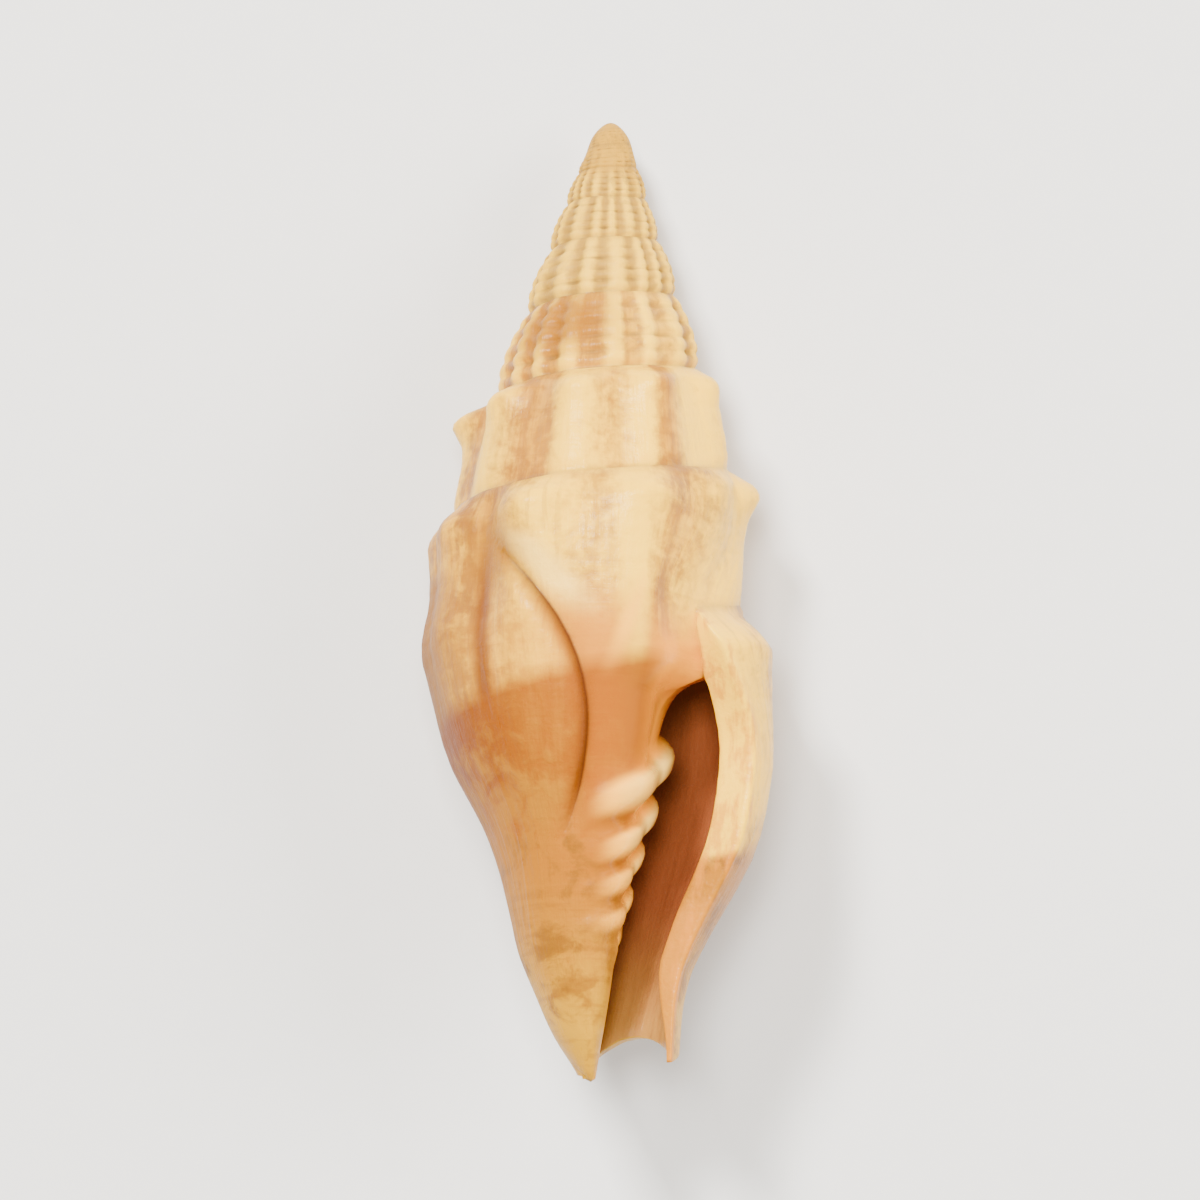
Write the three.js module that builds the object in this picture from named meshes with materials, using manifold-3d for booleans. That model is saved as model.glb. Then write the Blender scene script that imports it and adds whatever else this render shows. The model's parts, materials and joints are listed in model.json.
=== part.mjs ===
// A crowned mitre shell, 30 mm long, lying on its back with the aperture up.
// Frame: +Y along the shell towards the apex, +Z up, +X to the lip's side, millimetres.
//
// The whole shell is one closed surface. Its outside is a radius about the coiling axis, worked
// out from two numbers: "turn", which is 0 at the lip's edge and falls by one for each whorl
// towards the apex, and "along", the distance down the axis from the point where the spire's
// sides would meet. Each whorl hangs from the one before it at the suture, whose distance grows
// by the same ratio every turn.
import * as THREE from 'three';
import { mergeVertices } from 'three/addons/utils/BufferGeometryUtils.js';
import Module from 'manifold-3d';

const { clamp, degToRad, smoothstep } = THREE.MathUtils;

// Coiling
const GROWTH_PER_TURN = 1.36;
const LIP_SUTURE_ALONG = 16.58;
const SPIRE_TURNS = 8.2;
const LIP_AZIMUTH = 25;
const TIP_ALONG = 1.24;
const BASE_ALONG = 31.24;
const DOME_HEIGHT = 0.62;

// Whorl profile, as radius over distance along the axis
const EARLY_SLOPE = 0.314;
const EARLY_BULGE = 0.03;
const LATE_SLOPES = [[0, 0.318], [0.05, 0.33], [0.12, 0.343], [0.5, 0.338], [1, 0.318]];
const LATE_FROM_TURN = -2.25;
const LATE_BY_TURN = -1.95;

// Outlines of the last whorl, as [along, radius], from the suture to the base
const COLUMELLA_OUTLINE = [
  [12.3, 4.0], [12.7, 4.25], [13.4, 4.35], [16.7, 4.31], [18, 4.28], [18.5, 4.13], [18.85, 4.04],
  [19.1, 3.05], [19.7, 2.27], [20.7, 1.86], [23, 1.43], [25.5, 0.9], [28.9, 0.47], [31.24, 0.25],
];
const FRONT_OUTLINE = [
  [13, 4.35], [13.7, 4.66], [14.9, 4.9], [17.7, 4.97], [19.4, 4.74], [21.4, 4.1], [23.9, 2.98],
  [26.7, 2.24], [28.2, 1.8], [29.8, 1.12], [31.24, 0.25],
];
const LEFT_OUTLINE = [
  [14, 4.59], [14.5, 4.87], [15, 5.0], [16.4, 5.06], [17.9, 5.28], [20.2, 4.84], [21.3, 4.47],
  [23.6, 3.29], [24.7, 2.92], [26.2, 2.58], [27.3, 2.33], [28.5, 1.83], [30, 1.12], [31.24, 0.25],
];
const BACK_OUTLINE = [
  [15.1, 4.72], [15.7, 5.03], [16.8, 5.22], [18.6, 5.34], [20.5, 5.28], [22, 5.03], [25.1, 3.91],
  [28.2, 2.67], [29.6, 1.92], [31.24, 0.87],
];
const LIP_OUTLINE = [
  [16.6, 4.31], [17, 4.66], [17.4, 4.97], [17.8, 5.22], [21.4, 5.34], [22.4, 5.28], [23.9, 5.06],
  [24.8, 4.72], [26.9, 3.63], [28.1, 3.14], [29.2, 2.95], [30.9, 2.89],
];
const OUTLINE_TURNS = [-1, -0.8, -0.57, -0.3, -0.05];
const BOTTOM_EDGE = [
  [-2, 26.7], [-1.57, 30.7], [-1.4, 31.24], [-0.57, 31.24], [-0.46, 31.2], [-0.38, 30.95],
  [-0.33, 30.45], [-0.25, 29.6], [-0.18, 29.75], [-0.1, 30.3], [0, 30.85],
];
const BASE_CLOSES_AT_TURN = -0.57;
const COLUMELLA_STARTS_ALONG = 18.6;
const COLUMELLA_FREE_ALONG = 21.7;

// Fine ribs of the spire
const FINE_RIBS_PER_TURN = 18;
const FINE_RIB_SLOPE = 0.02;

// Strong ribs of the last two whorls: [turn, knob strength, rib strength]
const STRONG_RIBS = [
  [-2.02, 0.8, 0.8], [-1.892, 0.8, 0.9], [-1.782, 0.8, 0.9], [-1.65, 1.2, 1], [-1.55, 1.75, 1.1],
  [-1.436, 0.9, 1], [-1.32, 0.8, 1], [-1.2, 0.8, 1], [-1.075, 1.05, 0.5], [-0.985, 0.4, 0],
  [-0.872, 0.7, 0.5], [-0.743, 0.9, 0.9], [-0.636, 0.45, 0.7], [-0.569, 0.3, 0.55], [-0.469, 0.9, 1],
  [-0.375, 0.9, 1], [-0.264, 0.9, 0.9], [-0.158, 0.8, 0.7], [-0.053, 0.35, 0.2],
];
const RIB_HALF_WIDTH = 0.06;
const KNOB_SLOPE = 0.042;
const RIB_SLOPE = 0.034;
const KNOB_PROFILE = [[0, 0], [0.06, 0.35], [0.13, 0.9], [0.19, 1], [0.27, 0.7], [0.38, 0.25], [0.55, 0]];
const RIB_PROFILE = [[0, 0], [0.08, 0.4], [0.2, 0.8], [0.85, 0.85], [1, 0.5], [1.3, 0.25], [2.3, 0]];

// Crease where the body whorl's left flank overlaps the smooth wall beside the aperture
const CREASE_TURN = -0.8056;
const CREASE_MIDDLE_ALONG = 20.64;
const CREASE_CURVE = 0.00352;
const CREASE_DEPTH = 0.5;
const CREASE_LEFT_WIDTH = 0.012;
const CREASE_RIGHT_WIDTH = 0.045;

// Folds of the columella: [along at the aperture, height, half width, drop per turn]
const FOLDS = [
  [21.85, 0.64, 0.8, 7.3], [23.44, 0.46, 0.62, 6.8], [24.56, 0.33, 0.5, 5.6], [25.5, 0.27, 0.45, 4.7],
];

// Aperture
const ROOF_RATIO = 1.137;
const WALL_THICKNESS = 0.7;
const LIP_THICKENING = 0.5;
const LIP_END_TAPER = 0.7;
const APERTURE_DEPTH_TURNS = 0.65;
const SLIT_GAP = 0.12;
const LIP_REACH = 22;
const LIP_DROP = 0.37;
const WHORL_SKEW = 0.17;

// How the shell lies, and the flat spot worn where it rests
const LEAN = 12.5;
const FLAT_SPOT_DEPTH = 0.32;

// Facets
const COLUMNS_PER_TURN = 72;
const WHORL_ROWS = [0, 0.14, 0.4, 0.72, 1];
const ROOF_ROWS = 2;
const LOWER_ROWS = [0, 0.045, 0.18, 0.24, 0.305, 0.37, 0.415, 0.46, 0.5, 0.54, 0.585, 0.755, 0.89, 1];
const INNER_ROWS = 12;

// A smooth curve through points that never overshoots them, held level past both ends.
function monotoneCurve(points) {
  const slopes = points.slice(1).map(([x, y], i) => (y - points[i][1]) / (x - points[i][0]));
  const tangents = points.map((_, i) => {
    if (i === 0) return slopes[0];
    if (i === slopes.length) return slopes[i - 1];
    const product = slopes[i - 1] * slopes[i];
    return product > 0 ? (2 * product) / (slopes[i - 1] + slopes[i]) : 0;
  });
  return (x) => {
    let i = 0;
    while (i < slopes.length - 1 && x > points[i + 1][0]) i += 1;
    const [x0, y0] = points[i];
    const [x1, y1] = points[i + 1];
    const step = x1 - x0;
    const u = clamp((x - x0) / step, 0, 1);
    const rest = 1 - u;
    const ends = y0 * (1 + 2 * u) * rest * rest + y1 * u * u * (3 - 2 * u);
    return ends + step * u * rest * (tangents[i] * rest - tangents[i + 1] * u);
  };
}

// A rounded hump of height 1 at 0 that falls to nothing at -1 and 1.
function hump(u) {
  return Math.abs(u) < 1 ? 0.5 + 0.5 * Math.cos(Math.PI * u) : 0;
}

// The larger of two lengths, with the corner between them rounded.
function roundedMax(a, b, rounding) {
  return 0.5 * (a + b + Math.hypot(a - b, rounding));
}

const lateSlope = monotoneCurve(LATE_SLOPES);
const knobProfile = monotoneCurve(KNOB_PROFILE);
const ribProfile = monotoneCurve(RIB_PROFILE);
const bottomAlong = monotoneCurve(BOTTOM_EDGE);
const outlines = [
  COLUMELLA_OUTLINE, FRONT_OUTLINE, LEFT_OUTLINE, BACK_OUTLINE, LIP_OUTLINE,
].map(monotoneCurve);

function sutureAlong(turn) {
  return LIP_SUTURE_ALONG * GROWTH_PER_TURN ** turn;
}

// Last whorl without its ribs: the outlines blended around the axis. Inside the aperture the
// same columella goes on upwards, while the wall above it shrinks with the whorls.
function bodyRadius(turn, along) {
  const shrink = turn < -1 ? GROWTH_PER_TURN ** (turn + 1) : 1;
  const upper = outlines[0](along / shrink) * shrink;
  const onColumella = turn < -1 ? smoothstep(along, COLUMELLA_STARTS_ALONG, COLUMELLA_FREE_ALONG) : 0;
  let radius = THREE.MathUtils.lerp(upper, outlines[0](along), onColumella);
  for (let k = 1; k < outlines.length; k += 1) {
    const share = smoothstep(turn, OUTLINE_TURNS[k - 1], OUTLINE_TURNS[k]);
    radius += (outlines[k](along) - radius) * share;
  }
  return radius;
}

function creaseTurn(along) {
  return CREASE_TURN + CREASE_CURVE * (along - CREASE_MIDDLE_ALONG) ** 2;
}

function creaseDepth(turn, along) {
  if (turn < -1.1 || turn > -0.6) return 0;
  const reach = smoothstep(along, 14.9, 16.6) * (1 - smoothstep(along, 22.3, 24.5));
  const past = turn - creaseTurn(along);
  const width = past < 0 ? CREASE_RIGHT_WIDTH : CREASE_LEFT_WIDTH;
  return CREASE_DEPTH * reach * Math.exp(-Math.abs(past) / width);
}

function foldHeight(turn, along) {
  const fade = turn > -2 ? 1 - smoothstep(turn, -0.94, -0.78) : 0;
  let height = 0;
  for (const [foldAlong, foldHeightThere, halfWidth, drop] of FOLDS) {
    const centre = foldAlong + drop * (turn + 1);
    const across = hump((along - centre) / halfWidth);
    height += foldHeightThere * (1 - (1 - across) ** 2);
  }
  return fade * height;
}

// Radius of the shell's outer surface, and of its parietal wall and columella for turn < -1.
function surfaceRadius(turn, along) {
  const suture = sutureAlong(turn);
  const downWhorl = (along / suture - 1) / (GROWTH_PER_TURN - 1);
  const onWhorl = clamp(downWhorl, 0, 1);
  const late = smoothstep(turn, LATE_FROM_TURN, LATE_BY_TURN);
  const earlySlope = EARLY_SLOPE + EARLY_BULGE * Math.sin(Math.PI * onWhorl) ** 0.7;
  let radius = along * THREE.MathUtils.lerp(earlySlope, lateSlope(onWhorl), late);

  const onBody = Math.max(smoothstep(turn, -1.65, -1), smoothstep(downWhorl, 1, 1.12));
  radius = THREE.MathUtils.lerp(radius, bodyRadius(turn, along), onBody);
  radius -= creaseDepth(turn, along);

  const belowDome = clamp((TIP_ALONG + DOME_HEIGHT - along) / (DOME_HEIGHT + 0.02), 0, 1);
  radius *= Math.max(Math.sqrt(1 - belowDome ** 2), 0.02);

  const fineFade = (1 - late) * smoothstep(downWhorl, 0, 0.12) * (1 - 0.6 * smoothstep(downWhorl, 0.8, 1));
  const fineRib = 0.1 + 0.5 * Math.cos(2 * Math.PI * FINE_RIBS_PER_TURN * (turn + 2.02));
  radius += FINE_RIB_SLOPE * along * fineRib * fineFade * smoothstep(along, 1.9, 3);

  let knob = 0;
  let rib = 0;
  for (const [ribTurn, knobStrength, ribStrength] of STRONG_RIBS) {
    const share = hump((turn - ribTurn) / RIB_HALF_WIDTH);
    knob = Math.max(knob, knobStrength * share);
    rib = Math.max(rib, ribStrength * share);
  }
  const relief = KNOB_SLOPE * knob * knobProfile(downWhorl) + RIB_SLOPE * rib * ribProfile(downWhorl);
  radius += late * suture * relief;
  return radius + foldHeight(turn, along);
}

// Radius of the inside of the outer wall, thickest at the lip and thin towards the base. Where
// it would run into the wall behind it, it keeps clear by a narrow slit.
function innerRadius(turn, along) {
  const roof = sutureAlong(turn) * ROOF_RATIO;
  const atLip = 1 - smoothstep(-turn, 0, 0.1);
  const thinning = 1 - 0.45 * smoothstep(along, 24, 30);
  const taper = 1 - LIP_END_TAPER * atLip * smoothstep(along, 29, 30.8);
  const thickness = (WALL_THICKNESS + LIP_THICKENING * atLip) * thinning * taper;
  const closing = turn < BASE_CLOSES_AT_TURN ? 1 - smoothstep(along, 30.2, BASE_ALONG) : 1;
  const slit = SLIT_GAP * smoothstep(along, roof, roof + 1) * closing;
  return roundedMax(surfaceRadius(turn, along) - thickness, surfaceRadius(turn - 1, along) + slit, 0.05);
}

// Columns near the crease follow it, so that its edge stays sharp.
function columnTurn(turn, along) {
  if (turn < -1.05) return turn;
  const held = creaseTurn(clamp(along, 16.8, 24.5)) - CREASE_TURN;
  const reach = smoothstep(along, 13.4, 16.8) * (1 - smoothstep(along, 24.5, 27.9));
  return turn + held * reach * hump((turn + 0.8) / 0.19);
}

// Rows run along the folds where these cross the front of the columella.
function foldDrop(turn, share) {
  const reach = smoothstep(share, 0.08, 0.22) * (1 - smoothstep(share, 0.6, 0.88));
  const drop = THREE.MathUtils.lerp(FOLDS[0][3], FOLDS[3][3], clamp((share - 0.24) / 0.3, 0, 1));
  const lead = clamp(turn + 1, -0.06, 0.25) * (1 - smoothstep(turn, -0.76, -0.6));
  return drop * lead * reach;
}

// Beside the suture the lip reaches further round, and each whorl is set a little askew.
function place(turn, along, radius) {
  const nearLip = hump((turn - Math.round(turn)) / 0.16);
  const reach = nearLip * smoothstep(along, 13.7, 16.5) * (1 - smoothstep(along, 16.6, 21.5));
  const azimuth = degToRad(LIP_AZIMUTH + 360 * turn + LIP_REACH * reach);
  const onSpire = smoothstep(along, TIP_ALONG, 4.5) * (1 - smoothstep(along, 14, 18.6));
  const skew = WHORL_SKEW * Math.cos(azimuth) * onSpire;
  const down = along + LIP_DROP * reach + skew;
  return [radius * Math.cos(azimuth), -down, radius * Math.sin(azimuth)];
}

class ClosedSurface {
  constructor() {
    this.points = [];
    this.triangles = [];
  }

  point(xyz) {
    this.points.push(xyz);
    return this.points.length - 1;
  }

  triangle(a, b, c) {
    if (a !== b && b !== c && c !== a) this.triangles.push([a, b, c]);
  }

  // The strip between two columns of a grid, given from top to bottom.
  strip(column, next) {
    for (let k = 0; k + 1 < column.length; k += 1) {
      this.triangle(column[k], next[k + 1], column[k + 1]);
      this.triangle(column[k], next[k], next[k + 1]);
    }
  }

  // The strip between two edges that have different numbers of points.
  zip(edge, other) {
    const shares = [edge, other].map((line) => {
      const lengths = [0];
      for (let k = 1; k < line.length; k += 1) {
        const [a, b] = [this.points[line[k - 1]], this.points[line[k]]];
        lengths.push(lengths[k - 1] + Math.hypot(a[0] - b[0], a[1] - b[1], a[2] - b[2]));
      }
      return lengths.map((length) => length / lengths[lengths.length - 1]);
    });
    let i = 0;
    let j = 0;
    while (i < edge.length - 1 || j < other.length - 1) {
      const otherDone = j === other.length - 1;
      if (otherDone || (i < edge.length - 1 && shares[0][i + 1] <= shares[1][j + 1])) {
        this.triangle(edge[i], other[j], edge[i + 1]);
        i += 1;
      } else {
        this.triangle(edge[i], other[j], other[j + 1]);
        j += 1;
      }
    }
  }

  // A fan from a new point to a closed loop.
  fan(loop, xyz) {
    const centre = this.point(xyz);
    loop.forEach((corner, k) => this.triangle(corner, centre, loop[(k + 1) % loop.length]));
  }
}

function buildShell() {
  const surface = new ClosedSurface();
  const turnColumns = COLUMNS_PER_TURN;
  const lipColumn = Math.round(SPIRE_TURNS * turnColumns);
  const turnOf = (i) => (i - lipColumn) / turnColumns;
  const bodyColumn = lipColumn - turnColumns;
  const deepColumn = lipColumn - Math.round(APERTURE_DEPTH_TURNS * turnColumns);
  const closingColumn = lipColumn + Math.round(BASE_CLOSES_AT_TURN * turnColumns);

  // Outside: the rows of the whorl itself, the rows under the aperture's roof, which only the
  // last turn has, and the rows from the roof down to the base.
  const foot = LOWER_ROWS.length - 1;
  const whorl = [];
  const roof = [];
  const lower = [];
  for (let i = 0; i <= lipColumn; i += 1) {
    const turn = turnOf(i);
    const onSurface = (along) => {
      const here = columnTurn(turn, along);
      return surface.point(place(here, along, surfaceRadius(here, along)));
    };
    whorl[i] = WHORL_ROWS.map((row, j) => {
      if (j === 0 && i >= turnColumns) return whorl[i - turnColumns][WHORL_ROWS.length - 1];
      return onSurface(sutureAlong(turn) * (1 + (GROWTH_PER_TURN - 1) * row));
    });
    const below = sutureAlong(turn + 1);
    roof[i] = [];
    for (let k = 1; i >= bodyColumn && k < ROOF_ROWS; k += 1) {
      roof[i].push(onSurface(below * (1 + ((ROOF_RATIO - 1) * k) / ROOF_ROWS)));
    }
    const lowerRows = i >= deepColumn - turnColumns ? LOWER_ROWS : [];
    lower[i] = lowerRows.map((share) => {
      const straight = THREE.MathUtils.lerp(below * ROOF_RATIO, bottomAlong(turn), share);
      return onSurface(straight + foldDrop(turn, share));
    });
  }
  const bodyLine = (i) => [...whorl[i], ...roof[i], ...lower[i]];
  for (let i = 0; i < lipColumn; i += 1) {
    if (i >= bodyColumn) {
      surface.strip(bodyLine(i), bodyLine(i + 1));
    } else {
      surface.strip(whorl[i], whorl[i + 1]);
      if (i >= deepColumn - turnColumns) surface.strip(lower[i], lower[i + 1]);
    }
  }

  // Inside of the outer wall, from the roof to the bottom edge or to the columella's foot.
  const inner = [];
  for (let i = deepColumn; i <= lipColumn; i += 1) {
    const turn = turnOf(i);
    const behind = lower[i - turnColumns];
    const top = sutureAlong(turn) * ROOF_RATIO;
    inner[i] = [behind[0]];
    for (let k = 1; k <= INNER_ROWS; k += 1) {
      const share = k / INNER_ROWS;
      const along = THREE.MathUtils.lerp(top, bottomAlong(turn), 0.5 * (share + share ** 1.3));
      const closed = k === INNER_ROWS && i <= closingColumn;
      inner[i].push(closed ? behind[foot] : surface.point(place(turn, along, innerRadius(turn, along))));
    }
  }
  for (let i = deepColumn; i < lipColumn; i += 1) surface.strip(inner[i + 1], inner[i]);

  // Lip, bottom edge, the closed end deep inside, the base's tip and the apex.
  const suturePoint = whorl[bodyColumn][WHORL_ROWS.length - 1];
  surface.zip(bodyLine(lipColumn), [suturePoint, ...roof[bodyColumn], ...inner[lipColumn]]);
  for (let i = closingColumn; i < lipColumn; i += 1) {
    const outerEdge = [lower[i][foot], lower[i + 1][foot]];
    const innerEdge = [inner[i][INNER_ROWS], inner[i + 1][INNER_ROWS]];
    surface.strip(innerEdge, outerEdge);
  }
  surface.zip(inner[deepColumn], lower[deepColumn - turnColumns]);
  const footLoop = lower.slice(closingColumn - turnColumns, closingColumn + 1).map((rows) => rows[foot]);
  surface.fan(footLoop.reverse(), [0, -BASE_ALONG - 0.1, 0]);
  const firstTurn = whorl.slice(0, turnColumns + 1).map((rows) => rows[0]);
  surface.fan([...firstTurn, ...whorl[0].slice(1, -1).reverse()], [0, -TIP_ALONG, 0]);
  return surface;
}

// The geometry's triangles with every corner stored once.
function toGeometry(positions, corners) {
  const geometry = new THREE.BufferGeometry();
  geometry.setAttribute('position', new THREE.BufferAttribute(new Float32Array(positions), 3));
  geometry.setIndex([...corners]);
  return geometry;
}

const wasm = await Module();
wasm.setup();

function toSolid(geometry) {
  const vertProperties = new Float32Array(geometry.attributes.position.array);
  const triVerts = new Uint32Array(geometry.index.array);
  return new wasm.Manifold(new wasm.Mesh({ numProp: 3, vertProperties, triVerts }));
}

// The block of space under the flat spot.
function groundBlock(box, height) {
  const size = box.getSize(new THREE.Vector3()).multiplyScalar(2);
  const middle = box.getCenter(new THREE.Vector3());
  const block = new THREE.BoxGeometry(size.x, size.y, size.z);
  block.translate(middle.x, middle.y, height - size.z / 2);
  block.deleteAttribute('normal');
  block.deleteAttribute('uv');
  return mergeVertices(block);
}

function shellMesh() {
  const surface = buildShell();
  const whole = toGeometry(surface.points.flat(), surface.triangles.flat());
  whole.rotateX(degToRad(-LEAN));
  whole.computeBoundingBox();
  const ground = whole.boundingBox.min.z + FLAT_SPOT_DEPTH;
  const resting = toSolid(whole).subtract(toSolid(groundBlock(whole.boundingBox, ground))).getMesh();
  const geometry = toGeometry(resting.vertProperties, resting.triVerts);
  geometry.computeBoundingBox();
  const { min, max } = geometry.boundingBox;
  geometry.translate(-(min.x + max.x) / 2, -(min.y + max.y) / 2, -min.z);
  geometry.computeVertexNormals();
  const material = new THREE.MeshStandardMaterial({ color: 0xe2bd84, roughness: 0.35, metalness: 0 });
  const mesh = new THREE.Mesh(geometry, material);
  mesh.name = 'shell';
  return mesh;
}

const mitreShell = new THREE.Group();
mitreShell.add(shellMesh());

export default mitreShell;
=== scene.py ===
"""A crowned mitre shell, 30 mm long, lying on its back with the aperture up.

The whole shell is one closed skin. Its outside is a radius about the coiling axis, worked out
from two numbers: the turn, which is 0 at the lip's edge and falls by one for each whorl towards
the apex, and the distance down the axis from the point where the spire's sides would meet. The
same two numbers give every mask that the finish reads. Lengths are millimetres until the skin
is put in place, and metres from there on.
"""
import json
import logging
import math
from dataclasses import dataclass
from enum import Enum
from typing import Any, Mapping, Sequence

import bpy
import numpy as np
from mathutils import Matrix, Vector

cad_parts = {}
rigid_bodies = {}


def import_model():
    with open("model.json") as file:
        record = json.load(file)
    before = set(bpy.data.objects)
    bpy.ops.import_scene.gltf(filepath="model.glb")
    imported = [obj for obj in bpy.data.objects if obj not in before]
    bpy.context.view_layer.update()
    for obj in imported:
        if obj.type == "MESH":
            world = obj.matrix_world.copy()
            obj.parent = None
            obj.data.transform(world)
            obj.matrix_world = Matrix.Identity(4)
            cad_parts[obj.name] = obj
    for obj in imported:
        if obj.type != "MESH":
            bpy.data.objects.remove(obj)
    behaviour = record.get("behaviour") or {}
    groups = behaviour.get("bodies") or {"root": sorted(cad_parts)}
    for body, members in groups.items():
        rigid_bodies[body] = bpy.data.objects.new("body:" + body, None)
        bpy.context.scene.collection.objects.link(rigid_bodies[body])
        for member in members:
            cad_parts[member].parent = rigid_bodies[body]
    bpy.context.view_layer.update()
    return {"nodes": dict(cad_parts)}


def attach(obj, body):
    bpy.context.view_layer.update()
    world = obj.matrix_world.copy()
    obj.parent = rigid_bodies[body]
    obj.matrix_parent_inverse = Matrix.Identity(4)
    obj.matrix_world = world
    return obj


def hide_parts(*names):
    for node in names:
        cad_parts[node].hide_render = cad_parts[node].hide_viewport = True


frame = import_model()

log = logging.getLogger("mitre_shell")

MM = 0.001
Points = tuple[tuple[float, float], ...]
Colour = tuple[float, float, float]
Place = tuple[float, float, float]


# Curves of one number

def ramp(x: np.ndarray, start: float, end: float) -> np.ndarray:
    """A smooth step: with u the share of the way from start to end, held to 0..1, u * u * (3 - 2u).

    Args:
        x: the places.
        start: where the step leaves 0.
        end: where the step reaches 1.

    Returns:
        The step's height at each place.
    """
    u = np.clip((x - start) / (end - start), 0.0, 1.0)
    return u * u * (3.0 - 2.0 * u)


def blend(a: np.ndarray, b: np.ndarray, share: np.ndarray) -> np.ndarray:
    """a plus the share of the way from a to b."""
    return a + (b - a) * share


def hump(u: np.ndarray) -> np.ndarray:
    """Half of one plus the cosine of pi times u, and nothing past -1 and 1."""
    return np.where(np.abs(u) < 1.0, 0.5 + 0.5 * np.cos(np.pi * u), 0.0)


def rounded_max(a: np.ndarray, b: np.ndarray, rounding: float) -> np.ndarray:
    """Half of a plus b plus the long side of a right triangle on a - b and the rounding."""
    return 0.5 * (a + b + np.hypot(a - b, rounding))


@dataclass(frozen=True)
class SmoothLine:
    """A smooth curve through points that never overshoots them, held level past both ends.

    Between two points it is a cubic, and at each point its slope is the harmonic mean of the
    slopes on both sides, or zero where these differ in sign.
    """

    points: Points

    def __call__(self, x: np.ndarray) -> np.ndarray:
        """Reads the curve.

        Args:
            x: the places.

        Returns:
            The curve's height at each place.
        """
        at, height = np.array(self.points, float).T
        slopes = np.diff(height) / np.diff(at)
        product = slopes[:-1] * slopes[1:]
        total = slopes[:-1] + slopes[1:]
        inner = np.where(product > 0, 2 * product / np.where(total == 0, 1.0, total), 0.0)
        tangents = np.concatenate([slopes[:1], inner, slopes[-1:]])
        i = np.clip(np.searchsorted(at, x, side="left") - 1, 0, len(slopes) - 1)
        step = at[i + 1] - at[i]
        u = np.clip((x - at[i]) / step, 0.0, 1.0)
        rest = 1.0 - u
        ends = height[i] * (1 + 2 * u) * rest * rest + height[i + 1] * u * u * (3 - 2 * u)
        return ends + step * u * rest * (tangents[i] * rest - tangents[i + 1] * u)


# The shell's form

@dataclass(frozen=True)
class Coil:
    """How the shell coils: each suture is the growth ratio further down the axis than the last."""

    growth: float = 1.36
    lip_suture: float = 16.58
    spire_turns: float = 7.2
    lip_azimuth: float = 25.0
    tip_along: float = 1.24
    base_along: float = 31.24
    dome_height: float = 0.62
    lip_reach: float = 22.0
    lip_drop: float = 0.37
    lip_spread: float = 0.16
    skew: float = 0.17

    def suture(self, turn: np.ndarray) -> np.ndarray:
        """The lip's suture distance times the growth ratio to the power of the turn."""
        return self.lip_suture * self.growth ** turn

    def top_edge(self, turn: np.ndarray) -> np.ndarray:
        """The upper edge of a whorl: its suture, or the very tip where the coil begins."""
        started = ramp(turn, -self.spire_turns, 0.3 - self.spire_turns)
        return blend(np.full_like(turn, self.tip_along), self.suture(turn), started)

    def share(self, turn: np.ndarray, along: np.ndarray) -> np.ndarray:
        """How far down its whorl a place is: 0 at the whorl's suture and 1 at the next one."""
        return (along / self.suture(turn) - 1.0) / (self.growth - 1.0)

    def place(self, turn: np.ndarray, along: np.ndarray, radius: np.ndarray) -> np.ndarray:
        """Puts places round the axis, which runs along Y with the apex up.

        x and z are the radius times the cosine and sine of the azimuth, and y is minus the
        distance down. Beside the suture the lip reaches further round and drops a little, and
        each whorl is set slightly askew by the cosine of its azimuth.

        Args:
            turn: the turn of each place.
            along: the distance of each place down the axis.
            radius: the distance of each place from the axis.

        Returns:
            The places, with x, y and z on the last axis.
        """
        near_lip = hump((turn - np.round(turn)) / self.lip_spread)
        reach = near_lip * ramp(along, 13.7, 16.5) * (1 - ramp(along, 16.6, 21.5))
        azimuth = np.radians(self.lip_azimuth + 360.0 * turn + self.lip_reach * reach)
        on_spire = ramp(along, self.tip_along, 4.5) * (1 - ramp(along, 14.0, 18.6))
        askew = self.skew * np.cos(azimuth) * on_spire
        down = along + self.lip_drop * reach + askew
        return np.stack([radius * np.cos(azimuth), -down, radius * np.sin(azimuth)], axis=-1)


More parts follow.
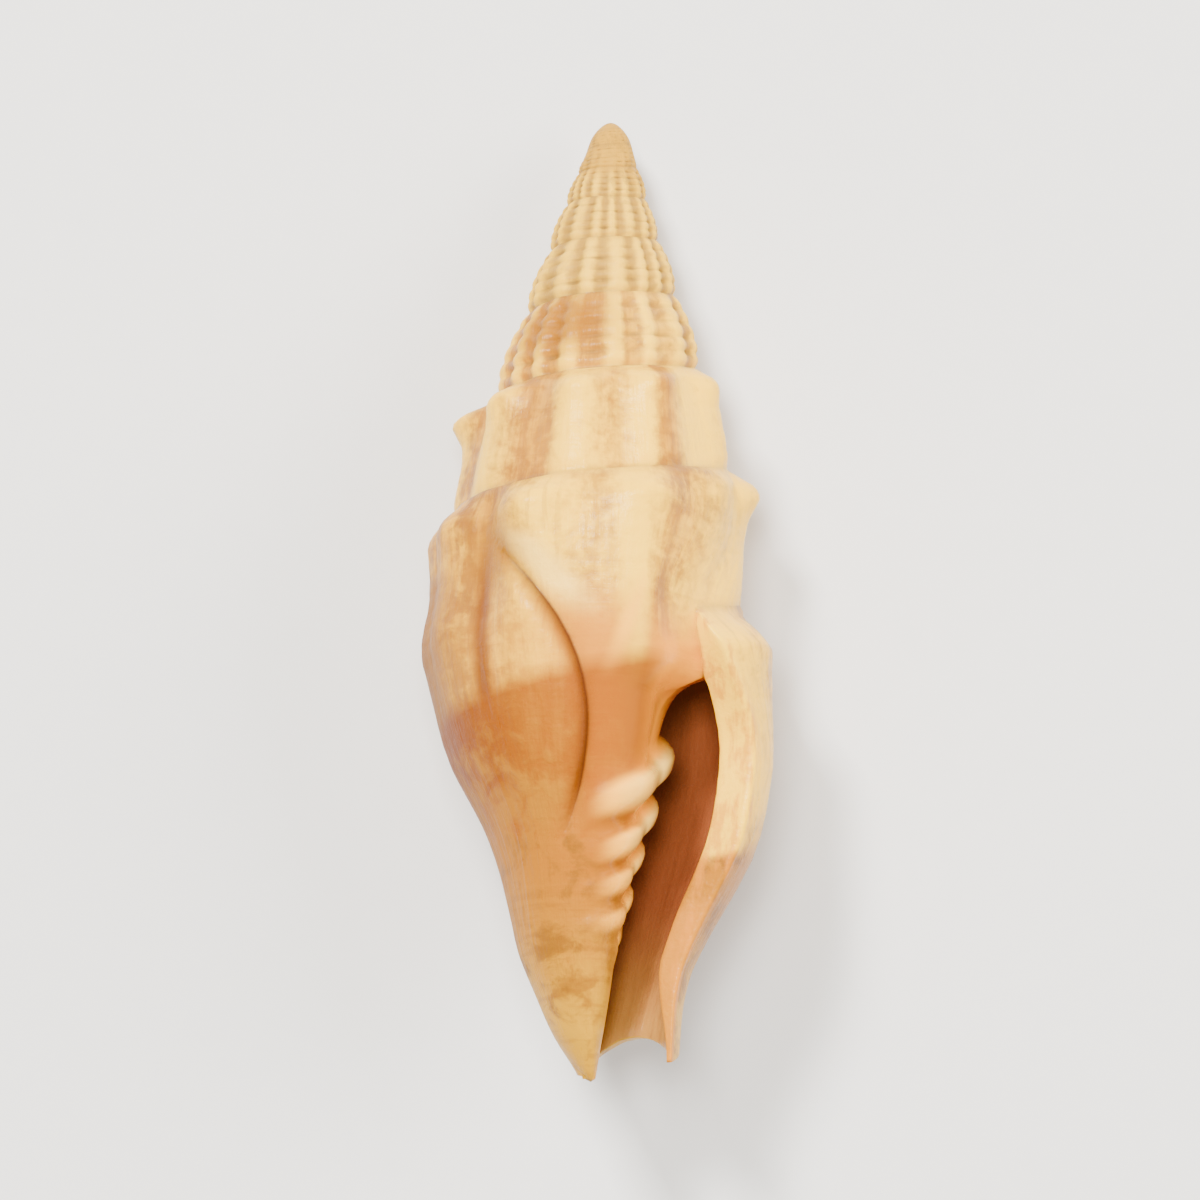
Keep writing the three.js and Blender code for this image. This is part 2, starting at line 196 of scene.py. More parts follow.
@dataclass(frozen=True)
class Outlines:
    """The last whorl's outlines, as distance down and radius, and the turns they stand at."""

    columella: SmoothLine = SmoothLine((
        (12.3, 4.0), (12.7, 4.25), (13.4, 4.35), (16.7, 4.31), (18, 4.28), (18.5, 4.13),
        (18.85, 4.04), (19.1, 3.05), (19.7, 2.27), (20.7, 1.86), (23, 1.43), (25.5, 0.9),
        (28.9, 0.47), (31.24, 0.14),
    ))
    front: SmoothLine = SmoothLine((
        (13, 4.35), (13.7, 4.66), (14.9, 4.9), (17.7, 4.97), (19.4, 4.74), (21.4, 4.1),
        (23.9, 2.98), (26.7, 2.24), (28.2, 1.8), (29.8, 1.12), (31.24, 0.14),
    ))
    left: SmoothLine = SmoothLine((
        (14, 4.59), (14.5, 4.87), (15, 5.0), (16.4, 5.06), (17.9, 5.28), (20.2, 4.9),
        (21.3, 4.59), (23.6, 3.4), (24.7, 2.99), (26.2, 2.6), (27.3, 2.33), (28.5, 1.83),
        (30, 1.12), (31.24, 0.14),
    ))
    back: SmoothLine = SmoothLine((
        (15.1, 4.72), (15.7, 5.03), (16.8, 5.22), (18.6, 5.34), (20.5, 5.28), (22, 5.03),
        (25.1, 3.91), (28.2, 2.67), (29.6, 1.92), (31.24, 0.87),
    ))
    lip: SmoothLine = SmoothLine((
        (16.6, 4.31), (17, 4.66), (17.4, 4.97), (17.8, 5.22), (21.4, 5.34), (22.4, 5.26),
        (23.9, 4.98), (24.8, 4.6), (26.9, 3.48), (28.1, 2.97), (29.2, 2.78), (30.9, 2.7),
    ))
    turns: tuple[float, ...] = (-1.0, -0.8, -0.57, -0.3, -0.05)
    bottom: SmoothLine = SmoothLine((
        (-2, 26.7), (-1.57, 30.7), (-1.4, 31.24), (-0.57, 31.24), (-0.5, 31.14), (-0.44, 31.02),
        (-0.38, 30.85), (-0.32, 30.55), (-0.26, 30.02), (-0.225, 29.75), (-0.19, 29.68),
        (-0.15, 29.78), (-0.1, 30.1), (-0.05, 30.5), (0, 30.85),
    ))
    columella_starts: float = 18.6
    columella_free: float = 21.7

    def radius(self, turn: np.ndarray, along: np.ndarray, growth: float) -> np.ndarray:
        """The last whorl without its ribs.

        The five outlines follow each other by smooth steps of the turn. Inside the aperture the
        wall above the columella shrinks by the growth ratio, and the columella keeps its size.

        Args:
            turn: the turn of each place.
            along: the distance of each place down the axis.
            growth: the coil's growth ratio.

        Returns:
            The radius at each place.
        """
        shrink = growth ** np.minimum(turn + 1.0, 0.0)
        upper = self.columella(along / shrink) * shrink
        free = ramp(along, self.columella_starts, self.columella_free)
        radius = blend(upper, self.columella(along), np.where(turn < -1, free, 0.0))
        lines = (self.front, self.left, self.back, self.lip)
        for line, start, end in zip(lines, self.turns[:-1], self.turns[1:]):
            radius = blend(radius, line(along), ramp(turn, start, end))
        return radius


@dataclass(frozen=True)
class Ribs:
    """The ribs: fine ones on the spire, and strong ones with knobs on the last two whorls.

    A strong rib is its turn, its knob's strength and its own strength. Between the strong ribs
    the surface sinks to shallow furrows. Slopes are heights as a share of the distance down.
    """

    fine_per_turn: int = 16
    fine_slope: float = 0.019
    strong: tuple[tuple[float, float, float], ...] = (
        (-2.02, 0.8, 0.8), (-1.892, 0.8, 0.9), (-1.782, 0.8, 0.9), (-1.66, 0.8, 0.75),
        (-1.55, 1.6, 1.0), (-1.436, 0.9, 1.0), (-1.32, 0.8, 1.0), (-1.2, 0.8, 1.0),
        (-1.075, 1.05, 0.5), (-0.985, 0.4, 0.0), (-0.872, 0.7, 0.5), (-0.743, 0.9, 0.9),
        (-0.636, 0.45, 0.7), (-0.569, 0.3, 0.55), (-0.469, 0.9, 1.0), (-0.375, 0.9, 1.0),
        (-0.264, 0.9, 0.9), (-0.158, 0.8, 0.7), (-0.053, 0.35, 0.2),
    )
    half_width: float = 0.06
    knob_slope: float = 0.042
    rib_slope: float = 0.036
    furrow_slope: float = 0.012
    knob_line: SmoothLine = SmoothLine((
        (0, 0), (0.06, 0.35), (0.13, 0.9), (0.19, 1), (0.27, 0.7), (0.38, 0.25), (0.55, 0),
    ))
    rib_line: SmoothLine = SmoothLine((
        (0, 0), (0.08, 0.4), (0.2, 0.8), (0.85, 0.85), (1, 0.5), (1.3, 0.25), (2.3, 0),
    ))

    def fine(self, turn: np.ndarray) -> np.ndarray:
        """A cosine of the turn from the first strong rib on, its waves made late by two sines.

        Args:
            turn: the turn of each place.

        Returns:
            A number from -1 to 1 at each place.
        """
        late = 0.16 * np.sin(2 * np.pi * (2.3 * turn + 0.1))
        late = late + 0.1 * np.sin(2 * np.pi * (5.7 * turn + 0.4))
        first = self.strong[0][0]
        return np.cos(2 * np.pi * (self.fine_per_turn * (turn - first) + late))

    def strong_shares(self, turn: np.ndarray) -> tuple[np.ndarray, np.ndarray]:
        """The greatest of the humps that stand at the strong ribs' turns.

        Args:
            turn: the turn of each place.

        Returns:
            The strength of the knobs and that of the ribs at each place.
        """
        knob = np.zeros_like(turn)
        rib = np.zeros_like(turn)
        for centre, knob_strength, rib_strength in self.strong:
            share = hump((turn - centre) / self.half_width)
            knob = np.maximum(knob, knob_strength * share)
            rib = np.maximum(rib, rib_strength * share)
        return knob, rib


@dataclass(frozen=True)
class Crease:
    """The crease where the body whorl's left flank overlaps the smooth wall beside the aperture."""

    turn: float = -0.8056
    middle: float = 20.64
    curve: float = 0.00352
    depth: float = 0.5
    left_width: float = 0.024
    right_width: float = 0.045

    def centre(self, along: np.ndarray) -> np.ndarray:
        """The crease's turn: a parabola about its middle."""
        return self.turn + self.curve * (along - self.middle) ** 2

    def reach(self, along: np.ndarray) -> np.ndarray:
        """How strong the crease is: it fades by smooth steps at both ends."""
        return ramp(along, 14.9, 16.6) * (1 - ramp(along, 22.3, 24.5))

    def hollow(self, turn: np.ndarray, along: np.ndarray) -> np.ndarray:
        """The crease's depth below the surface on both sides.

        To the right it falls off as an exponential. To the left the flank rounds over it as a
        quarter of an ellipse, so that it ends in a steep wall at the crease's centre.

        Args:
            turn: the turn of each place.
            along: the distance of each place down the axis.

        Returns:
            The depth at each place.
        """
        past = turn - self.centre(along)
        left = 1 - np.sqrt(1 - (1 - np.clip(past / self.left_width, 0, 1)) ** 2)
        right = np.exp(np.minimum(past, 0) / self.right_width)
        near = (turn > -1.1) & (turn < -0.6)
        return np.where(near, self.depth * self.reach(along) * np.where(past > 0, left, right), 0.0)


@dataclass(frozen=True)
class Folds:
    """The columella's folds: distance down at turn -1, height, half width and drop in a turn."""

    rows: tuple[tuple[float, float, float, float], ...] = (
        (21.85, 0.64, 0.8, 7.3), (23.46, 0.46, 0.62, 6.8), (24.74, 0.36, 0.54, 5.8),
        (25.98, 0.3, 0.5, 4.9), (27.05, 0.14, 0.45, 4.4),
    )
    fades: tuple[tuple[float, float], ...] = (
        (-0.93, -0.77), (-0.93, -0.78), (-0.93, -0.77), (-0.93, -0.75), (-0.97, -0.82),
    )

    def height(self, turn: np.ndarray, along: np.ndarray) -> np.ndarray:
        """The sum of one flat-topped hump across each fold, which drops evenly with the turn.

        With h a plain hump, the flat-topped one is one minus the square of 1 - h.

        Args:
            turn: the turn of each place.
            along: the distance of each place down the axis.

        Returns:
            The folds' height at each place.
        """
        total = np.zeros_like(turn)
        for (at, height, half, drop), fade in zip(self.rows, self.fades):
            across = hump((along - at - drop * (turn + 1)) / half)
            total = total + height * (1 - (1 - across) ** 2) * (1 - ramp(turn, *fade))
        return np.where(turn > -2, total, 0.0)

    def drop(self, turn: np.ndarray, share: np.ndarray) -> np.ndarray:
        """How far the mesh's rows slide down so that they run along the folds.

        Args:
            turn: the turn of each column.
            share: the row's share of the way from the roof to the base.

        Returns:
            The slide of each row.
        """
        reach = ramp(share, 0.08, 0.22) * (1 - ramp(share, 0.6, 0.88))
        slope = blend(self.rows[0][3], self.rows[3][3], np.clip((share - 0.24) / 0.3, 0, 1))
        lead = np.clip(turn + 1, -0.06, 0.25) * (1 - ramp(turn, -0.76, -0.6))
        return slope * lead * reach


class Mask(Enum):
    """The numbers that each corner of the skin carries for its finish."""

    TURN = "turn"
    DOWN = "down"
    SHARE = "share"
    RIB = "rib"
    PIT = "pit"
    INSIDE = "inside"
    BAND = "band"
    GLAZE = "glaze"
    FOLD = "fold"
    # Painted shade: where the dark line down the crease is painted.
    CREASE = "crease"
    # Painted shade: where shade is painted on the crease's left flank.
    FLANK_SHADE = "flank"
    SUTURE = "suture"
    SPIRE = "spire"


@dataclass(frozen=True)
class ShellForm:
    """The shell's surfaces and masks as functions of the turn and the distance down the axis."""

    coil: Coil = Coil()
    outlines: Outlines = Outlines()
    ribs: Ribs = Ribs()
    crease: Crease = Crease()
    folds: Folds = Folds()
    early_slope: float = 0.314
    early_bulge: float = 0.03
    late_slope: SmoothLine = SmoothLine((
        (0, 0.318), (0.05, 0.33), (0.12, 0.343), (0.5, 0.338), (1, 0.318),
    ))
    wall: float = 0.7
    lip_thickening: float = 0.5
    roof_ratio: float = 1.137
    closes_at: float = -0.57
    slit: float = 0.12
    threads: int = 5
    thread_depth: float = 0.017
    faint_lines: int = 9
    faint_depth: float = 0.028
    band_start: float = 24.3
    band_end: SmoothLine = SmoothLine((
        (-1.4, 26.0), (-0.9, 25.6), (-0.6, 25.2), (-0.2, 26.4), (-0.05, 25.5),
    ))
    paleness: SmoothLine = SmoothLine((
        (-2.1, 0.5), (-2.02, 0.9), (-1.949, 1.0), (-1.9, 0.2), (-1.874, 0.95), (-1.825, 0.55),
        (-1.775, 1.0), (-1.729, 0.05), (-1.69, 0.5), (-1.649, 0.95), (-1.6, 0.3), (-1.55, 0.9),
        (-1.5, 0.3), (-1.436, 0.9), (-1.38, 0.25), (-1.32, 0.9), (-1.26, 0.3), (-1.2, 0.9),
        (-1.13, 0.35), (-1.06, 0.85), (-1.0, 0.8), (-0.95, 0.6), (-0.905, 0.4), (-0.88, 0.65),
        (-0.856, 1.0), (-0.82, 0.6), (-0.79, 0.7), (-0.76, 0.9), (-0.742, 0.7), (-0.71, 0.45),
        (-0.69, 0.1), (-0.665, 0.4), (-0.62, 0.35), (-0.569, 0.45), (-0.52, 0.15), (-0.469, 0.7),
        (-0.42, 0.2), (-0.375, 0.75), (-0.32, 0.25), (-0.264, 0.75), (-0.21, 0.25), (-0.158, 0.75),
        (-0.1, 0.35), (-0.04, 0.8), (0, 0.9),
    ))

    def late(self, turn: np.ndarray) -> np.ndarray:
        """A smooth step from the finely ribbed whorls to the strongly ribbed ones."""
        return ramp(turn, -2.25, -1.95)

    def thread_hollows(self, turn: np.ndarray, along: np.ndarray) -> np.ndarray:
        """The spiral grooves between the threads, deepest between the ribs.

        A groove is the square of one half less half a cosine across the whorl, as many to a whorl
        as there are threads. It is shallower on the fine ribs' crests, and slow sines of the turn
        make some grooves deeper than others.

        Args:
            turn: the turn of each place.
            along: the distance of each place down the axis.

        Returns:
            A number from 0 to 1 at each place.
        """
        share = self.coil.share(turn, along)
        groove = (0.5 - 0.5 * np.cos(2 * np.pi * (self.threads * share + 0.5))) ** 2
        between = 0.78 - 0.22 * self.ribs.fine(turn)
        uneven = 0.8 + 0.3 * np.sin(47.0 * turn + 9.0 * share) * np.sin(29.0 * turn - 5.0 * share)
        ends = ramp(share, 0.0, 0.1) * (1 - 0.5 * ramp(share, 0.9, 1.0))
        return groove * between * uneven * ends

    def radius(self, turn: np.ndarray, along: np.ndarray) -> np.ndarray:
        """The radius of the outside, and of the wall and columella inside the aperture.

        A whorl's radius is a slope times the distance down, with a bulge across it. The last
        whorl takes the outlines instead. The crease, the grooves and the furrows between strong
        ribs go in, the dome closes the tip as a quarter of an ellipse, and the ribs, knobs and
        folds stand out. The furrows fade on the lower whorl, at the lip and beside the crease.

        Args:
            turn: the turn of each place.
            along: the distance of each place down the axis.

        Returns:
            The radius at each place.
        """
        coil = self.coil
        share = coil.share(turn, along)
        on_whorl = np.clip(share, 0, 1)
        late = self.late(turn)
        swell = np.sin(np.pi * on_whorl) ** 0.7 * ramp(along, 2.0, 3.0)
        swell = blend(np.full_like(along, 0.75), swell, ramp(along, 1.9, 2.8))
        bulge = self.early_slope + self.early_bulge * swell
        radius = along * blend(bulge, self.late_slope(on_whorl), late)

        on_body = np.maximum(ramp(turn, -1.65, -1.0), ramp(share, 1.0, 1.12))
        radius = blend(radius, self.outlines.radius(turn, along, coil.growth), on_body)
        radius = radius - self.crease.hollow(turn, along)

        below = (coil.tip_along + coil.dome_height - along) / coil.dome_height
        dome = np.maximum(np.sqrt(1 - np.clip(below, 0, 1) ** 2), 0.0)
        radius = radius * dome

        early = (1 - late) * ramp(along, 1.9, 3.0)
        fade = ramp(share, 0, 0.12) * (1 - 0.6 * ramp(share, 0.8, 1.0))
        fine = 0.1 + 0.5 * self.ribs.fine(turn)
        radius = radius + self.ribs.fine_slope * along * fine * fade * early
        radius = radius - self.thread_depth * along * self.thread_hollows(turn, along) * early

        knob, rib = self.ribs.strong_shares(turn)
        relief = self.ribs.knob_slope * knob * self.ribs.knob_line(share)
        relief = relief + self.ribs.rib_slope * rib * self.ribs.rib_line(share)
        furrow = self.ribs.furrow_slope * (1 - np.clip(rib, 0, 1)) * self.ribs.rib_line(share)
        furrow = furrow * (1 - ramp(share, 0.9, 1.3)) * (1 - ramp(turn, -0.66, -0.6))
        furrow = furrow * (1 - ramp(turn, -1.02, -0.97) * (1 - ramp(turn, -0.76, -0.7)))
        radius = radius + late * coil.suture(turn) * (relief - furrow)
        radius = radius - late * self.faint_depth * self.faint_hollows(turn, along)
        return radius + self.folds.height(turn, along)

    def faint_hollows(self, turn: np.ndarray, along: np.ndarray) -> np.ndarray:
        """The faint lines of the last whorls.

        Spiral lines are the cube of a raised cosine across the whorl, strongest between the
        ribs. Growth lines are the product of three sines of the turn that share no period. Both
        fade on the smooth wall beside the aperture.

        Args:
            turn: the turn of each place.
            along: the distance of each place down the axis.

        Returns:
            A number from about 0 to 1 at each place.
        """
        share = self.coil.share(turn, along)
        rib = np.clip(self.ribs.strong_shares(turn)[1], 0, 1)
        spiral = (0.5 - 0.5 * np.cos(2 * np.pi * self.faint_lines * share)) ** 3 * (1 - 0.75 * rib)
        bend = 0.012 * np.sin(0.55 * along + 1.0)
        wander = turn + bend
        growth = np.sin(431.0 * wander) * np.sin(173.0 * wander + 0.7) * np.sin(67.0 * wander + 2.1)
        smooth = ramp(self.crease.centre(along) - turn, -0.01, 0.02) * ramp(turn, -1.5, -1.05)
        open_part = 1 - smooth * ramp(along, 16.4, 18.0)
        fade = ramp(share, 0.03, 0.1) * (1 - ramp(along, 27.5, 30.0))
        return (0.55 * spiral * (1 - ramp(share, 1.0, 1.4)) + 0.45 * growth) * open_part * fade

    def inner_radius(self, turn: np.ndarray, along: np.ndarray) -> np.ndarray:
        """The radius of the inside of the outer wall.

        It is the outside less the wall's thickness, which is greatest at the lip and less towards
        the base, and it keeps a narrow slit clear of the wall behind it.

        Args:
            turn: the turn of each place.
            along: the distance of each place down the axis.

        Returns:
            The radius at each place.
        """
        roof = self.coil.suture(turn) * self.roof_ratio
        at_lip = 1 - ramp(-turn, 0, 0.1)
        thickness = (self.wall + self.lip_thickening * at_lip) * (1 - 0.45 * ramp(along, 24, 30))
        thickness = thickness * (1 - 0.78 * at_lip * ramp(along, 27.5, 31.0))
        closing = np.where(turn < self.closes_at, 1 - ramp(along, 30.2, self.coil.base_along), 1.0)
        slit = self.slit * np.clip((along - roof) / 1.0, 0, 1) ** 2 * closing
        behind = self.radius(turn - 1, along) + slit
        return rounded_max(self.radius(turn, along) - thickness, behind, 0.05)

    def followed_turn(self, turn: np.ndarray, along: np.ndarray) -> np.ndarray:
        """The turn of the mesh's columns, which bend so that they follow the crease.

        Args:
            turn: the turn of each column.
            along: the distance of each row down the axis.

        Returns:
            The turn at each corner.
        """
        held = self.crease.centre(np.clip(along, 15.6, 24.5)) - self.crease.turn
        reach = ramp(along, 12.6, 15.6) * (1 - ramp(along, 24.5, 27.9))
        bent = turn + held * reach * hump((turn + 0.8) / 0.19)
        return np.where(turn < -1.05, turn, bent)

    def masks(self, turn: np.ndarray, along: np.ndarray, inside: float) -> np.ndarray:
        """Every mask of the finish, worked out from the form.

        Args:
            turn: the turn of each place.
            along: the distance of each place down the axis.
            inside: 1 on the inside of the outer wall, and 0 elsewhere.

        Returns:
            The masks in the order of Mask, on the last axis.
        """
        coil = self.coil
        share = coil.share(turn, along)
        late = self.late(turn)
        rib_mask = blend(0.5 + 0.5 * self.ribs.fine(turn), self.paleness(turn), late)
        pit = (1 - late) * self.thread_hollows(turn, along)
        pit = pit + 0.5 * late * self.faint_hollows(turn, along)
        past = turn - self.crease.centre(along)
        soft = 0.09 * ramp(along, 22.3, 25.0)
        right = np.clip((0.004 + soft - past) / (0.01 + 2 * soft), 0, 1) * ramp(turn, -1.9, -1.6)
        start, end = self.band_start * coil.growth ** turn, self.band_end(turn)
        band = ramp(along, start - 0.15, start + 0.2) * (1 - ramp(along, end - 0.5, end + 0.9))
        glaze = right * ramp(along, 16.0, 18.5) * (1 - 0.7 * ramp(along, 24.5, 27.0))
        near = ((turn > -1.1) & (turn < -0.6)) * self.crease.reach(along)
        # Painted shade: a narrow line at the crease, and a band on its left flank.
        line = near * np.exp(-np.abs(past) / np.where(past < 0, 0.003, 0.006))
        # Painted shade on the crease's left flank, fading away from the crease.
        flank = np.where(past > -0.001, 1 - ramp(past, 0.0, self.crease.left_width), 0.0)
        flank = near * flank * ramp(along, 15.5, 18.0)
        edge = np.minimum(np.abs(share), np.abs(share - 1))
        suture = np.exp(-edge / 0.035) * (1 - ramp(share, 1.02, 1.06))
        suture = np.where(turn < -1.0, suture, np.exp(-np.abs(share) / 0.03))
        deep = np.clip(inside + ramp(-turn, 1.07, 1.2) * ramp(share, 1.2, 1.4), 0, 1)
        spire = 1 - ramp(turn, -3.3, -2.6)
        fold = np.clip(self.folds.height(turn, along) / 0.45, 0, 1)
        rows = (
            turn, along, share, rib_mask, pit, deep, band, glaze, fold, line, flank, suture, spire,
        )
        return np.stack([np.broadcast_to(row, turn.shape) for row in rows], axis=-1)


# The skin

@dataclass(frozen=True)
class Sheet:
    """A grid, or one line, of corners: their numbers in the skin and their masks."""

    ids: np.ndarray
    masks: np.ndarray

    def part(self, *where: Any) -> "Sheet":
        """The corners that an index picks."""
        return Sheet(self.ids[where], self.masks[where])

    def turned(self) -> "Sheet":
        """The same line from its other end."""
        return Sheet(self.ids[::-1], self.masks[::-1])

    def as_line(self) -> "Sheet":
        """The same corners in one line."""
        return Sheet(self.ids.ravel(), self.masks.reshape(-1, self.masks.shape[-1]))


def joined(sheets: Sequence[Sheet], axis: int = 0) -> Sheet:
    """Sheets put end to end along an axis."""
    return Sheet(
        np.concatenate([s.ids for s in sheets], axis),
        np.concatenate([s.masks for s in sheets], axis),
    )


def stacked(sheets: Sequence[Sheet], axis: int = 0) -> Sheet:
    """Sheets of one shape put side by side along a new axis."""
    return Sheet(np.stack([s.ids for s in sheets], axis), np.stack([s.masks for s in sheets], axis))


class Skin:
    """A closed surface that is put together from sheets which share their edges' corners."""

    def __init__(self) -> None:
        """Starts with no corners and no faces."""
        self.points: list[np.ndarray] = []
        self.count = 0
        self.faces: list[np.ndarray] = []
        self.face_masks: list[np.ndarray] = []

    def corners(self, points: np.ndarray) -> np.ndarray:
        """Adds new points.

        Args:
            points: the places, with x, y and z on the last axis.

        Returns:
            The points' numbers.
        """
        flat = points.reshape(-1, 3)
        ids = np.arange(self.count, self.count + len(flat)).reshape(points.shape[:-1])
        self.points.append(flat)
        self.count += len(flat)
        return ids

    def place_of(self, ids: np.ndarray) -> np.ndarray:
        """The places of points by their numbers."""
        return np.concatenate(self.points)[ids]

    def triangles(self, *corners: Sheet) -> None:
        """Adds triangles, leaving out those that have two corners in one point.

        Args:
            corners: the first corners of all triangles, the second ones and the third ones.
        """
        trios = stacked(corners, 1)
        a, b, c = trios.ids.T
        good = (a != b) & (b != c) & (c != a)
        self.faces.append(trios.ids[good])
        self.face_masks.append(trios.masks[good])

    def cover(self, sheet: Sheet) -> None:
        """Covers a grid of columns, given from top to bottom, with two triangles to a cell.

        Args:
            sheet: the corners, with columns on the first axis.
        """
        first, second = slice(None, -1), slice(1, None)
        here, beside = sheet.part(first, first).as_line(), sheet.part(second, first).as_line()
        under, across = sheet.part(first, second).as_line(), sheet.part(second, second).as_line()
        self.triangles(here, across, under)
        self.triangles(here, beside, across)

    def shares(self, ids: np.ndarray) -> np.ndarray:
        """Each point's share of the length of a line of points.

        Args:
            ids: the points' numbers in order.

        Returns:
            The shares, from 0 to 1.
        """
        steps = np.linalg.norm(np.diff(self.place_of(ids), axis=0), axis=-1)
        lengths = np.concatenate([[0.0], np.cumsum(steps)])
        return lengths / lengths[-1]

    def zip_up(self, edge: Sheet, other: Sheet) -> None:
        """Joins two lines that have different numbers of points.

        All steps of both lines are put in order of their share of its length, and each step
        makes one triangle with the point that the other line has reached.

        Args:
            edge: the line whose steps come first where shares are equal.
            other: the second line.
        """
        ends = np.concatenate([self.shares(edge.ids)[1:], self.shares(other.ids)[1:] + 1e-9])
        of_edge = np.arange(len(ends)) < len(edge.ids) - 1
        order = np.argsort(ends, kind="stable")
        of_edge = of_edge[order]
        i = np.cumsum(of_edge) - of_edge
        j = np.cumsum(~of_edge) - ~of_edge
        next_edge = edge.part(np.minimum(i + 1, len(edge.ids) - 1))
        next_other = other.part(np.minimum(j + 1, len(other.ids) - 1))
        self.triangles(edge.part(i), other.part(j), Sheet(
            np.where(of_edge, next_edge.ids, next_other.ids),
            np.where(of_edge[:, None], next_edge.masks, next_other.masks),
        ))

    def fan(self, loop: Sheet, centre: Place) -> None:
        """Joins a closed loop to a new point.

        Args:
            loop: the loop's corners.
            centre: the new point.
        """
        middle = self.corners(np.asarray(centre, float)[None])[0]
        middles = Sheet(np.full(len(loop.ids), middle), loop.masks)
        self.triangles(loop, middles, joined([loop.part(slice(1, None)), loop.part(slice(0, 1))]))

    def to_mesh(self, name: str, placed: np.ndarray) -> bpy.types.Mesh:
        """Makes the mesh, with one float attribute on its corners for each mask.

        Args:
            name: the mesh's name.
            placed: the points' final places, in metres.

        Returns:
            The mesh.
        """
        faces = np.concatenate(self.faces)
        masks = np.concatenate(self.face_masks).reshape(len(faces) * 3, -1)
        used, renumbered = np.unique(faces, return_inverse=True)
        corners = renumbered.reshape(-1)
        mesh = bpy.data.meshes.new(name)
        mesh.vertices.add(len(used))
        mesh.vertices.foreach_set("co", placed[used].astype(np.float32).ravel())
        mesh.loops.add(len(corners))
        mesh.loops.foreach_set("vertex_index", corners.astype(np.int32))
        mesh.polygons.add(len(faces))
        mesh.polygons.foreach_set("loop_start", np.arange(0, len(corners), 3, dtype=np.int32))
        mesh.polygons.foreach_set("use_smooth", np.ones(len(faces), bool))
        for column, mask in enumerate(Mask):
            layer = mesh.attributes.new(mask.value, "FLOAT", "CORNER")
            layer.data.foreach_set("value", masks[:, column].astype(np.float32))
        mesh.update(calc_edges=True)
        mesh.validate()
        return mesh


